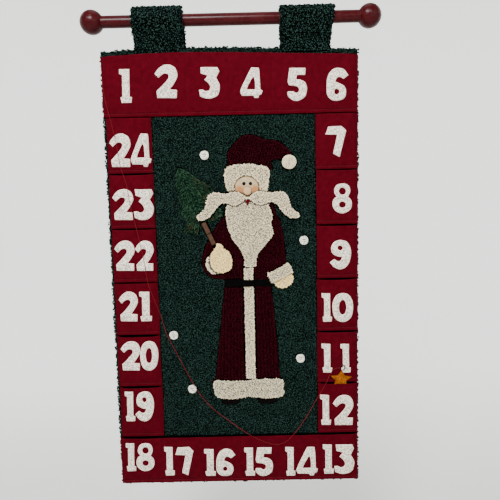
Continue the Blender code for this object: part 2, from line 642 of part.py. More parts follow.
def build_robe(face_bottom, beard_bottom, body):
    """Robe, its fur bands, the belt and the boots below the hem. Returns the robe's top."""
    cream = material("cream_fur", CREAM, 0.95)
    top = face_bottom - COLLAR_DROP
    bottom = top - ROBE_HEIGHT
    left = FIGURE_X + ROBE_OFFSET - ROBE_WIDTH / 2
    robe = smooth_loop(scaled(ROBE_SHARES, left, bottom, ROBE_WIDTH, ROBE_HEIGHT))
    patch("robe", robe, FIRST_LAYER, CLOTH, material("robe_cloth", ROBE_RED, 0.95), body)

    hem_top = bottom + HEM_LAP
    hem_left = FIGURE_X + HEM_OFFSET - HEM_WIDTH / 2
    hem = smooth_loop(scaled(HEM_SHARES, hem_left, hem_top - HEM_HEIGHT, HEM_WIDTH, HEM_HEIGHT))
    patch("hem_band", hem, SECOND_LAYER, FUR, cream, body)
    highest_hem = max(z for _, z in hem)

    band = FIGURE_X + BAND_OFFSET
    low, high = highest_hem + LAYER_GAP, beard_bottom - LAYER_GAP
    strip = [(band - BAND_WIDTH / 2, low), (band + BAND_WIDTH / 2, low),
             (band + BAND_WIDTH / 2, high), (band - BAND_WIDTH / 2, high)]
    patch("front_band", strip, SECOND_LAYER, TRIM_FUR, cream, body)
    build_belt(left, bottom + WAIST_SHARE * ROBE_HEIGHT, body)

    boots = material("boot_felt", BOOT_BROWN, 0.9)
    boot_bottom = min(z for _, z in robe) - 2 * LAYER_GAP - BOOT_HEIGHT
    for name, side in (("boot_left", -1), ("boot_right", 1)):
        x = FIGURE_X + HEM_OFFSET + side * BOOT_SPACING / 2
        shares = [(u if side < 0 else 1 - u, v) for u, v in BOOT_SHARES]
        boot = smooth_loop(scaled(shares, x - BOOT_WIDTH / 2, boot_bottom, BOOT_WIDTH, BOOT_HEIGHT))
        patch(name, boot, FIRST_LAYER, FELT, boots, body)
    return top


def build_hands(robe_top, body):
    """Fur cuffs and mittens. Returns the middle of the mitten that holds the tree."""
    cream = material("cream_fur", CREAM, 0.95)
    hand = (FIGURE_X - MITTEN_REACH_SHARE * ROBE_WIDTH, robe_top - MITTEN_DROP_SHARE * ROBE_HEIGHT)
    cuff = (hand[0] - CUFF_REACH, hand[1] - CUFF_REACH)
    patch("cuff_left", ellipse(cuff, CUFF_WIDTH, CUFF_HEIGHT), SECOND_LAYER, TRIM_FUR, cream, body)
    mitten = scaled(MITTEN_SHARES, hand[0] - MITTEN_WIDTH / 2, hand[1] - MITTEN_HEIGHT / 2,
                    MITTEN_WIDTH, MITTEN_HEIGHT)
    patch("mitten_left", smooth_loop(mitten), FOURTH_LAYER, TRIM_FUR, cream, body)

    cuff = (FIGURE_X + RIGHT_CUFF_REACH_SHARE * ROBE_WIDTH,
            robe_top - RIGHT_CUFF_DROP_SHARE * ROBE_HEIGHT)
    half_length, half_width = RIGHT_CUFF_LENGTH / 2, RIGHT_CUFF_WIDTH / 2
    band = rounded_rectangle(cuff[0] - half_length, cuff[1] - half_width, cuff[0] + half_length,
                             cuff[1] + half_width, RIGHT_CUFF_WIDTH / 5)
    patch("cuff_right", turned_about(band, cuff, RIGHT_CUFF_TILT), FOURTH_LAYER, TRIM_FUR, cream, body)
    palm = (cuff[0], cuff[1] - RIGHT_MITTEN_DROP)
    palm = turned_about([palm], cuff, RIGHT_CUFF_TILT)[0]
    shape = ellipse(palm, RIGHT_MITTEN_LENGTH, RIGHT_MITTEN_WIDTH)
    patch("mitten_right", turned_about(shape, palm, RIGHT_CUFF_TILT), SECOND_LAYER, TRIM_FUR,
          cream, body)
    return hand


def build_tree(hand, body):
    """A small fir whose trunk runs down behind the mitten."""
    pivot = (hand[0] - TREE_GRIP_OUT, hand[1] + TREE_GRIP_UP)
    trunk_top = pivot[1] + TRUNK_LENGTH
    trunk = [(pivot[0] - TRUNK_WIDTH / 2, pivot[1]), (pivot[0] + TRUNK_WIDTH / 2, pivot[1]),
             (pivot[0] + TRUNK_WIDTH / 2, trunk_top), (pivot[0] - TRUNK_WIDTH / 2, trunk_top)]
    patch("tree_trunk", turned_about(trunk, pivot, TREE_TILT), SECOND_LAYER, CLOTH,
          material("trunk_felt", BROWN, 0.9), body)
    base = trunk_top - TRUNK_TUCK
    right = [(pivot[0] + u * TREE_WIDTH / 2, base + v * TREE_HEIGHT) for u, v in FIR_TIER_SHARES]
    left = [(2 * pivot[0] - x, z) for x, z in right[:0:-1]]
    patch("fir_tree", turned_about(right + left, pivot, TREE_TILT), FIRST_LAYER, CLOTH,
          material("fir_cloth", FIR_GREEN, 0.95), body)


def build_snow(body):
    """Felt snow dots scattered over the window."""
    finish = material("white_felt", WHITE_FELT, 0.9)
    width = WINDOW_RIGHT - WINDOW_LEFT
    height = WINDOW_TOP - WINDOW_BOTTOM
    for number, (across, down) in enumerate(DOT_SHARES, start=1):
        centre = (WINDOW_LEFT + across * width, WINDOW_TOP - down * height)
        outline = ellipse(centre, DOT_DIAMETER, DOT_DIAMETER)
        patch(f"snow_dot_{number}", outline, FIRST_LAYER, FELT, finish, body)


def build_star(body):
    """The wooden star that stands in a pocket, leaning out over the one above, and its wire loop."""
    mouth = WINDOW_TOP - STAR_POCKET_ROW * SIDE_POCKET_PITCH - ROW_GAP
    centre = Vector((WINDOW_RIGHT + STAR_X_SHARE * RIGHT_COLUMN_WIDTH, 0, mouth + STAR_RISE))
    lean = Matrix.Rotation(math.radians(STAR_TILT), 4, "X")
    proud = STAR_PROUD + STAR_RISE * math.tan(math.radians(STAR_TILT))
    outline = []
    for k in range(10):
        angle = math.pi / 2 + math.pi * k / 5
        reach = 1.0 if k % 2 == 0 else STAR_INNER_SHARE
        x = math.cos(angle) * reach * STAR_WIDTH / 2 / math.cos(math.pi / 10)
        z = math.sin(angle) * reach * STAR_HEIGHT / (1 + math.cos(math.pi / 5))
        outline.append((x, z))
    tip_x, tip_z = outline[0]
    blunt = tip_z - STAR_TIP_CUT
    outline[0:1] = [(tip_x + STAR_TIP_CUT, blunt), (tip_x - STAR_TIP_CUT, blunt)]
    finish = material("star_wood", STAR_GOLD, 0.5)
    star = patch("star_marker", outline, 0, STAR_THICKNESS, finish, body)
    sway = Matrix.Rotation(math.radians(STAR_SWAY), 4, "Y")
    seat = Matrix.Translation((centre.x, -proud, centre.z)) @ lean @ sway
    star.matrix_local = seat @ Matrix.Translation(star.location)

    radius = LOOP_DIAMETER / 2
    foot = blunt + LAYER_GAP
    start = math.asin(STAR_TIP_CUT / 2 / radius)
    arc = [start + (math.tau - 2 * start) * k / LOOP_STEPS for k in range(LOOP_STEPS + 1)]
    depth = LOOP_WIRE / 2 - STAR_THICKNESS
    middle = foot + radius + LOOP_WIRE / 2
    points = [(math.sin(a) * radius, depth, middle - math.cos(a) * radius) for a in arc]
    loop = tube("star_loop", points[1:-1], LOOP_WIRE, material("loop_cord", THREAD_RED, 0.6), body)
    loop.matrix_local = seat


def build_thread(body):
    points = evenly_spaced(THREAD_ROUTE, THREAD_POINTS)
    length = sum((q - p).length for p, q in zip(points, points[1:]))
    print(f"marker thread: {length:.4f} m long")
    tube("marker_thread", points, THREAD_DIAMETER, material("red_thread", THREAD_RED, 0.7), body)


def build():
    clear_scene()
    rod = joint_empty("rod_body")
    tabs = joint_empty("tabs_body", rod, (REST_ALONG_ROD, 0, 0))
    panel = joint_empty("panel_body", tabs)
    star = joint_empty("star_body", panel)

    build_rod(rod)
    build_tab("tab_left", LEFT_TAB_SHARE * PANEL_WIDTH, tabs)
    build_tab("tab_right", RIGHT_TAB_SHARE * PANEL_WIDTH, tabs)
    build_panel(panel)
    build_strip("top_pocket_strip", WINDOW_TOP, TOP_STRIP_HEIGHT, panel)
    build_strip("bottom_pocket_strip", PANEL_BOTTOM, BOTTOM_STRIP_HEIGHT - ROW_GAP, panel)
    build_side_pockets(panel)
    brim_bottom, face_bottom = build_head(panel)
    beard_bottom = build_beard(brim_bottom, panel)
    robe_top = build_robe(face_bottom, beard_bottom, panel)
    hand = build_hands(robe_top, panel)
    build_tree(hand, panel)
    build_snow(panel)
    build_thread(panel)
    build_star(star)


build()
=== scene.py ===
import math

import bmesh
import bpy
import numpy as np
from mathutils import Matrix, Vector
from mathutils.geometry import delaunay_2d_cdt


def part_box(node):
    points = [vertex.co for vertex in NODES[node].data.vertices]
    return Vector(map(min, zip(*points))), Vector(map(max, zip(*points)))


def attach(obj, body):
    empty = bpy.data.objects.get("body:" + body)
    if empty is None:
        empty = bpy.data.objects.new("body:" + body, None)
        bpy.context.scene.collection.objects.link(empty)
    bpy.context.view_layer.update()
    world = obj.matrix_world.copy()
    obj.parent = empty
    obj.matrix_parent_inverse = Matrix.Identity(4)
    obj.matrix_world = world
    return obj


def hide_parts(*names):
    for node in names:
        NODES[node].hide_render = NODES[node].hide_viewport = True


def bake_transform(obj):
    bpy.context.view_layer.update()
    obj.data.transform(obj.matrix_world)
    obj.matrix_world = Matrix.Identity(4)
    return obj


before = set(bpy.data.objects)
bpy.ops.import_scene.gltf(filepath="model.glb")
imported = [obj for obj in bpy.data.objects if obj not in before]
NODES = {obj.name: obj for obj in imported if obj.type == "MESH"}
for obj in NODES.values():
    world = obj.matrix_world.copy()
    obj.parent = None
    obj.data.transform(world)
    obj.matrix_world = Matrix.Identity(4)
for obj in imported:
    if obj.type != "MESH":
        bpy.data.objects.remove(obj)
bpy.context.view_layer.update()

# Camera, fitted to the photograph: where it stands, and its turn, dip and roll in degrees
EYE = np.array((0.0261, -0.8206, -0.2764))
YAW, DIP, ROLL = (math.radians(a) for a in (-0.243, 6.203, -1.293))
FOCUS_PX = 500.0
MIDDLE_PX = 250


def camera_axes():
    ahead = np.array((math.sin(YAW) * math.cos(DIP), math.cos(YAW) * math.cos(DIP), -math.sin(DIP)))
    right = np.array((math.cos(YAW), -math.sin(YAW), 0.0))
    up = np.cross(right, ahead)
    return (right * math.cos(ROLL) + up * math.sin(ROLL),
            up * math.cos(ROLL) - right * math.sin(ROLL), ahead)


RIGHT, UP, AHEAD = camera_axes()


def seen(u, v, y):
    """Where the line of sight through a pixel meets the upright plane at this y, as (x, z)."""
    ray = AHEAD * FOCUS_PX + RIGHT * (u - MIDDLE_PX) - UP * (v - MIDDLE_PX)
    hit = EYE + ray * ((y - EYE[1]) / ray[1])
    return hit[0], hit[2]


def linked(name, data):
    """A new object in the scene."""
    obj = bpy.data.objects.new(name, data)
    bpy.context.scene.collection.objects.link(obj)
    return obj


def make_camera():
    """Its focus is as many pixels as the picture is wide, so lens and sensor are the same."""
    camera = linked("camera", bpy.data.cameras.new("camera"))
    camera.data.lens = camera.data.sensor_width = 36.0
    camera.data.clip_start = 0.01
    turn = Matrix([[*row, 0] for row in np.column_stack((RIGHT, UP, -AHEAD))] + [[0, 0, 0, 1]])
    camera.matrix_world = Matrix.Translation(EYE) @ turn
    bpy.context.scene.camera = camera


# Noise, from fixed random numbers on a grid

def grain(i, j, seed):
    """A fixed random number from 0 to 1 for each whole cell."""
    h = (i * 374761393 + j * 668265263 + seed * 974634777) & 0xFFFFFFFF
    h = ((h ^ (h >> 13)) * 1274126177) & 0xFFFFFFFF
    return ((h ^ (h >> 16)) & 0xFFFF) / 65535


def drift(x, z, size, seed=0):
    """Smooth noise from -1 to 1, in lumps of this size."""
    u, v = np.asarray(x, float) / size, np.asarray(z, float) / size
    i, j = np.floor(u).astype(np.int64), np.floor(v).astype(np.int64)
    u, v = u - i, v - j
    u, v = u * u * (3 - 2 * u), v * v * (3 - 2 * v)
    low = grain(i, j, seed) * (1 - u) + grain(i + 1, j, seed) * u
    high = grain(i, j + 1, seed) * (1 - u) + grain(i + 1, j + 1, seed) * u
    return 2 * (low * (1 - v) + high * v) - 1


def eased(share):
    share = np.clip(share, 0, 1)
    return share * share * (3 - 2 * share)


# Outlines

def catmull(a, b, c, d, t):
    return (b * 2 + (c - a) * t + (a * 2 - b * 5 + c * 4 - d) * t * t
            + (b * 3 - a - c * 3 + d) * t ** 3) / 2


def trace(points, steps=8):
    """The closed line through the points: smooth through pairs, with a corner at each triple."""
    out, count = [], len(points)
    for i in range(count):
        p = [points[(i + k) % count] for k in (-1, 0, 1, 2)]
        a, b, c, d = (np.array(q[:2], float) for q in p)
        a = b if len(p[1]) == 3 else a
        d = c if len(p[2]) == 3 else d
        out += [catmull(a, b, c, d, s / steps) for s in range(steps)]
    return np.array(out)


def reach_of(line):
    """How far along the line each of its points is."""
    return np.concatenate(([0], np.cumsum(np.linalg.norm(np.diff(line, axis=0), axis=1))))


def evenly(loop, step):
    """Points this far apart round a closed line."""
    ring = np.vstack((loop, loop[:1]))
    reach = reach_of(ring)
    at = np.linspace(0, reach[-1], max(8, int(reach[-1] / step)), endpoint=False)
    return np.column_stack([np.interp(at, reach, v) for v in ring.T])


def outline_of(node, corners=False):
    """The (x, z) line round the back of a flat CAD piece, smoothed unless it has corners."""
    mesh = NODES[node].data
    co = np.array([v.co for v in mesh.vertices])
    back = co[:, 1].max() - 1e-5
    key = [tuple(np.round(p[[0, 2]], 6)) for p in co]
    edges = set()
    for face in mesh.polygons:
        at = list(face.vertices)
        if all(co[i, 1] > back for i in at):
            edges |= {(key[i], key[j]) for i, j in zip(at, at[1:] + at[:1])}
    after = {a: b for a, b in edges if (b, a) not in edges}
    start = point = min(after)
    loop = []
    while not loop or point != start:
        loop.append(point)
        point = after[point]
    return np.array(loop) if corners else trace(loop, 4)


def area_of(loop):
    """The area in the loop, below zero where it runs clockwise."""
    x, z = loop.T
    return (np.dot(x, np.roll(z, -1)) - np.dot(z, np.roll(x, -1))) / 2


def unit(ways):
    return ways / np.linalg.norm(ways, axis=1)[:, None]


def normals(ahead):
    """The unit normals to the right of the ways ahead."""
    return unit(np.column_stack((ahead[:, 1], -ahead[:, 0])))


def outward(loop):
    """The unit normals that point out of a closed line, one for each point."""
    return normals(np.roll(loop, -1, axis=0) - np.roll(loop, 1, axis=0)) * np.sign(area_of(loop))


def rough_edge(loop, depth, size=0.0026):
    """The line with small tufts, as the edge of a pile cloth has."""
    loop = evenly(loop, size / 4)
    at = np.arange(len(loop)) * size / 4
    return loop + outward(loop) * (depth * drift(at, at * 0, size, 5))[:, None]


def inside(points, loops):
    """Which points lie inside the outline and outside its holes."""
    x, z = points.T
    odd = np.zeros(len(points), bool)
    for loop in loops:
        for (ax, az), (bx, bz) in zip(loop, np.roll(loop, -1, axis=0)):
            if az != bz:
                crosses = (az > z) != (bz > z)
                odd ^= crosses & (x < (bx - ax) * (z - az) / (bz - az) + ax)
    return odd


def edge_distance(points, loops):
    best = np.full(len(points), 1e9)
    for loop in loops:
        for a, b in zip(loop, np.roll(loop, -1, axis=0)):
            d = b - a
            t = np.clip(((points - a) @ d) / max(d @ d, 1e-18), 0, 1)
            best = np.minimum(best, ((points - a - t[:, None] * d) ** 2).sum(axis=1))
    return np.sqrt(best)


def rectangle(x0, z0, x1, z1):
    return np.array(((x0, z0), (x1, z0), (x1, z1), (x0, z1)))


def drawn_in(loop, by):
    """The closed line moved in by this much."""
    dense = evenly(loop, 0.0012)
    return dense - outward(dense) * by


def uncovered(points, covers, clear):
    """The rows of the points that lie outside every cover by at least this much."""
    rows = np.arange(len(points))
    for loop in covers:
        at = points[rows]
        rows = rows[~inside(at, [loop]) & (edge_distance(at, [loop]) >= clear)]
    return rows


# Meshes

# The rows of a triangular grid lie this share of its pitch apart
ROW_SHARE = 0.87


def raised(flat, y):
    """Points that stand over the (x, z) points, at one y or at one each."""
    return np.column_stack((flat[:, 0], np.broadcast_to(y, len(flat)), flat[:, 1]))


def layer(x, y, z):
    """The points of a grid, as rows."""
    return np.stack(np.broadcast_arrays(x, y, z), axis=-1).reshape(-1, 3)


def border(x, z, box):
    """How far points in a box are from its nearest side, as the front shows it."""
    low, high = box
    return np.minimum(np.minimum(x - low[0], high[0] - x), np.minimum(z - low[2], high[2] - z))


def ring_quads(rings, around, flip=False):
    """The quads between rings of points that follow one another."""
    quads = []
    for k in range(rings - 1):
        for s in range(around):
            a, b = k * around + s, k * around + (s + 1) % around
            quad = (a, b, b + around, a + around)
            quads.append(quad[:1] + quad[:0:-1] if flip else quad)
    return quads


def copies(faces, count, points):
    """The faces of this many equal meshes, which have this many points each."""
    return (faces[None] + points * np.arange(count)[:, None, None]).reshape(-1, faces.shape[1])


def smooth_mesh(name, verts, faces, look):
    mesh = bpy.data.meshes.new(name)
    faces = faces.tolist() if isinstance(faces, np.ndarray) else [list(map(int, f)) for f in faces]
    mesh.from_pydata(np.asarray(verts).tolist(), [], faces)
    mesh.shade_smooth()
    mesh.materials.append(look)
    return mesh


def piece(name, verts, faces, look, body="panel", stands_for=(), marks=None, chart=None):
    """A new smooth object on a body. marks are values kept on its points for its material, and
    chart is where each point lies on a flat map, kept as the object's UV map."""
    mesh = smooth_mesh(name, verts, faces, look)
    for mark, values in (marks or {}).items():
        values = np.full(len(verts), values, np.float32)
        mesh.attributes.new(mark, "FLOAT", "POINT").data.foreach_set("value", values)
    if chart is not None:
        corner = np.empty(len(mesh.loops), np.int64)
        mesh.loops.foreach_get("vertex_index", corner)
        low, span = chart.min(axis=0), np.ptp(chart, axis=0)
        mesh.uv_layers.new(name="OFBake").uv.foreach_set(
            "vector", ((chart - low) / span)[corner].astype(np.float32).ravel())
    obj = linked(name, mesh)
    if body:
        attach(obj, body)
    if stands_for:
        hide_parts(*stands_for)
    return obj


def rounded(d, soft, rim=0.35):
    """How much of its thickness a cloth has at this distance from its rounded edge."""
    return rim + (1 - rim) * np.sqrt(1 - (1 - np.clip(d / soft, 0, 1)) ** 2)


def cut_mesh(loops, back, thick, step, soft, relief=None):
    """A closed piece cut to the loops, as (verts, faces, distance from the edge).

    back is the y of its flat back, or back(x, z) gives it. relief(x, z, d) from 0 to 1 says how
    much of the thickness each point keeps, and the edge rounds off over the soft width."""
    loops = [evenly(loop, step) for loop in loops]
    (x0, z0), (x1, z1) = loops[0].min(axis=0), loops[0].max(axis=0)
    rows = []
    for j, z in enumerate(np.arange(z0, z1, step * ROW_SHARE)):
        xs = np.arange(x0 + step * (j % 2) / 2, x1, step)
        rows.append(np.column_stack((xs, np.full(len(xs), z))))
    field = np.vstack(rows)
    field = field[inside(field, loops)]
    field = field[edge_distance(field, loops) > step * 0.55]
    edges, start = [], 0
    for loop in loops:
        n = len(loop)
        edges += [(start + i, start + (i + 1) % n) for i in range(n)]
        start += n
    points, _, tris, *_ = delaunay_2d_cdt([Vector(p) for p in np.vstack((*loops, field))], edges, [],
                                          1, 1e-7)
    flat = np.array([tuple(p) for p in points])
    tris = np.array([t for t in tris if len(t) == 3])
    tris = tris[inside(flat[tris].mean(axis=1), loops)]
    used, tris = np.unique(tris, return_inverse=True)
    flat, tris = flat[used], tris.reshape(-1, 3)
    a, b, c = (flat[tris[:, k]] for k in range(3))
    turned = (b - a)[:, 0] * (c - a)[:, 1] - (b - a)[:, 1] * (c - a)[:, 0] < 0
    tris[turned] = tris[turned][:, ::-1]
    d = edge_distance(flat, loops)
    x, z = flat.T
    behind = back(x, z) if callable(back) else np.full(len(x), back)
    front = behind - thick * rounded(d, soft) * (relief(x, z, d) if relief else 1.0)
    n = len(flat)
    verts = np.vstack((raised(flat, front), raised(flat, behind)))
    sides = {(i, j) for t in tris.tolist() for i, j in zip(t, t[1:] + t[:1])}
    walls = [(i, i + n, j + n, j) for i, j in sorted(sides) if (j, i) not in sides]
    return verts, tris.tolist() + (tris[:, ::-1] + n).tolist() + walls, np.concatenate((d, d))


def cut_cloth(name, loop, thick, look, node, step=0.001, soft=0.0008, relief=None):
    """A cut piece of cloth that stands for a node."""
    verts, faces, d = cut_mesh([loop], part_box(node)[1][1], thick, step, soft, relief)
    # lift 0.05 paints a pile's backing in the dark colour of the shade deep between its curls.
    obj = piece(name, verts, faces, look, stands_for=[node], marks={"edge": d, "lift": 0.05})
    return obj


def grid_faces(rows, cols, offset=0, flip=False):
    i = np.arange(rows * cols).reshape(rows, cols) + offset
    quads = np.stack((i[:-1, :-1], i[:-1, 1:], i[1:, 1:], i[1:, :-1]), axis=-1).reshape(-1, 4)
    return (quads[:, ::-1] if flip else quads).tolist()


def two_sided(front, back, rows, cols):
    """The points and faces of a sheet with these two grids of points: rows go up, columns right."""
    n = rows * cols
    i = np.arange(n).reshape(rows, cols)
    rim = np.concatenate((i[0], i[1:, -1], i[-1, -2::-1], i[-2:0:-1, 0]))
    faces = grid_faces(rows, cols) + grid_faces(rows, cols, n, flip=True)
    faces += [(j, i, i + n, j + n) for i, j in zip(rim, np.roll(rim, -1))]
    return np.vstack((front, back)), faces


def sewn_sheet(name, node, x, front, behind, z, look):
    """A sheet that stands for a node and lies between two grids of y."""
    obj = piece(name, *two_sided(layer(x, front, z), layer(x, behind, z), *x.shape), look,
                stands_for=[node])
    return obj


def stations(low, high, step, fine=()):
    """Even stations with closer ones near both ends."""
    ends = [low + f for f in fine] + [high - f for f in fine]
    inner = np.linspace(low, high, max(3, int(round((high - low) / step)) + 1))
    reach = max(fine, default=0)
    inner = [v for v in inner[1:-1] if v - low > reach * 1.3 and high - v > reach * 1.3]
    return np.array(sorted([low, high, *ends, *inner]))


def tube_mesh(points, radius, sides=8, ply=0.0, twist=0.0, taper=None):
    """A round yarn along the points. ply is how deep its two strands wind round each other."""
    p = np.asarray(points, float)
    ahead = unit(np.gradient(p, axis=0))
    side = np.cross(ahead[0], (0.3, 1.0, 0.2))
    rings, reach = [], 0.0
    a = np.linspace(0, math.tau, sides, endpoint=False)
    for k, (at, way) in enumerate(zip(p, ahead)):
        side = side - way * (side @ way)
        side /= np.linalg.norm(side)
        over = np.cross(way, side)
        reach += np.linalg.norm(at - p[k - 1]) if k else 0
        r = radius * (1 - ply + ply * np.cos(2 * (a - reach * twist)))[:, None]
        r = r * (1 if taper is None else taper[k])
        rings.append(at + np.cos(a)[:, None] * side * r + np.sin(a)[:, None] * over * r)
    last = (len(p) - 1) * sides
    return np.vstack(rings), [*ring_quads(len(p), sides), list(range(sides))[::-1],
                              [last + s for s in range(sides)]]


def joined(parts):
    verts, faces, start = [], [], 0
    for v, f in parts:
        verts.append(v)
        faces += [[i + start for i in face] for face in f]
        start += len(v)
    return np.vstack(verts), faces


# Pile: short curls of yarn that stand close together on a cloth

# How far apart the curls stand and how big they are, coarser on the tabs, and a curl's length,
# width and height against its size
PITCH, CURL = 0.0022, 0.001
TAB_PITCH, TAB_CURL = 0.0031, 0.00138
CURL_SHAPE = (1.3, 0.85, 1.05)


def facing(count):
    """Ways that all point at the viewer."""
    return np.tile((0.0, -1.0, 0.0), (count, 1))


def unit_ball(fineness):
    """The points and triangles of a ball with its poles on Z."""
    ball = bmesh.new()
    bmesh.ops.create_icosphere(ball, subdivisions=fineness, radius=1.0)
    points = np.array([v.co for v in ball.verts])
    faces = np.array([[v.index for v in f.verts] for f in ball.faces])
    ball.free()
    return points, faces


def scattered(loop, pitch, seed, inset, under=(), clear=0.0):
    """Points on a loose triangular grid in the loop, clear of its edge and of what lies over."""
    rng = np.random.default_rng(seed)
    (x0, z0), (x1, z1) = loop.min(axis=0), loop.max(axis=0)
    x, z = np.meshgrid(np.arange(x0, x1, pitch), np.arange(z0, z1, pitch * ROW_SHARE))
    x[1::2] += pitch / 2
    at = np.column_stack((x.ravel(), z.ravel()))
    at += rng.uniform(-0.28, 0.28, at.shape) * pitch
    at = at[inside(at, [loop])]
    at = at[edge_distance(at, [loop]) > inset]
    return at[uncovered(at, under, clear)]


def curl_mesh(at, out, size, seed, chart, fineness=1, shape=CURL_SHAPE, pale=0.0):
    """One bent lump of yarn at each point, turned at random and pointing roughly out. shape gives
    its length, width and height against the size, the same for all or one row each. pale, from 0
    to 1, is how little of a curl takes the painted shade that darkens it down to its root."""
    rng = np.random.default_rng(seed)
    ball, sides = unit_ball(fineness)
    n, m = len(at), len(ball)
    out = unit(unit(out) + rng.normal(0, 0.28, (n, 3)))
    side = unit(np.cross(out, rng.normal(0, 1, (n, 3))))
    over = np.cross(out, side)
    sizes = size * np.broadcast_to(shape, (n, 3)) * rng.uniform(0.72, 1.22, (n, 3))
    local = ball[None] * sizes[:, None]
    local[..., 1] += local[..., 0] ** 2 / size * rng.uniform(-0.5, 0.5, (n, 1))
    verts = (at[:, None] + local[..., 0:1] * side[:, None] + local[..., 1:2] * over[:, None]
             + local[..., 2:3] * out[:, None]).reshape(-1, 3)
    spread = local[..., :2] * (0.62 - 0.32 * ball[None, :, 2:3])
    pale = np.repeat(np.broadcast_to(pale, n), m)
    # lift runs from 0 at a curl's root to 1 at its tip: the height that a pile look paints shade by.
    marks = {"lift": pale + (1 - pale) * np.tile((ball[:, 2] + 1) / 2, n),
             "tone": np.repeat(rng.uniform(0, 1, n), m)}
    return verts, copies(sides, n, m), marks, (chart[:, None] + spread).reshape(-1, 2)


def stand_curls(name, at, out, size, seed, look, body="panel", chart=None, tone=None, **more):
    """A pile as one object. tone, where given, paints shade on each curl beside its random tone."""
    chart = at[:, [0, 2]] if chart is None else chart
    verts, faces, marks, chart = curl_mesh(at, out, size, seed, chart, **more)
    if tone is not None:
        # A given tone is painted shade, darker in the ribs' furrows and lighter on their ridges.
        marks["tone"] = marks["tone"] * 0.4 + np.repeat(tone, len(verts) // len(at)) * 0.6
    return piece(name, verts, faces, look, body, (), marks, chart)


def pile_cloth(node, name, look, thick, seed, relief, pitch=PITCH, covered=(),
               shade=None, soft=0.0024, fineness=2, trench=0.0012, loop=None):
    """A cloth with a standing pile, cut to the node's outline: its backing and the curls on it.
    Curls leave a trench round what covers it, where the backing's painted dark shows as a line of
    shadow, and those on its rim lie down, point outward and take little of the painted shade."""
    loop = outline_of(node) if loop is None else loop
    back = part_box(node)[1][1]
    size = pitch * 0.47
    over = [outline_of(n) for n in covered]
    rng = np.random.default_rng(seed)
    at = scattered(loop, pitch, seed, size * 1.5, over, trench)
    rim = evenly(loop, pitch * 0.62)
    away = outward(rim)
    rim = rim - away * size * rng.uniform(0.9, 3.0, (len(rim), 1))
    rows = uncovered(rim, over, trench)
    rim, away = rim[rows], away[rows]
    d = edge_distance(at, [loop])
    deep = rng.uniform(0.35, 1.15, len(at))
    y = np.concatenate((back - thick * rounded(d, soft, 0.5) * relief(*at.T, d) + size * deep,
                        back - thick * rng.uniform(0.12, 0.4, len(rim))))
    flat = np.vstack((at, rim))
    out = facing(len(flat))
    out[len(at):, [0, 2]] = away * 1.7
    shape = np.tile((1.2, 0.85, 1.05), (len(flat), 1))
    shape[len(at):] = (0.68, 0.6, 2.0)
    # The rim's curls are spared most of the painted shade towards their roots.
    pale = np.where(np.arange(len(flat)) < len(at), 0.0, 0.95)
    curls = stand_curls(name + "_curls", raised(flat, y), out, size, seed, look, fineness=fineness,
                        shape=shape, pale=pale, tone=shade(*flat.T) if shade else None)
    return cut_cloth(name, drawn_in(loop, 0.0011), thick, look, node, step=0.002, soft=soft,
                     relief=lambda x, z, d: 0.55 * relief(x, z, d))


# Materials


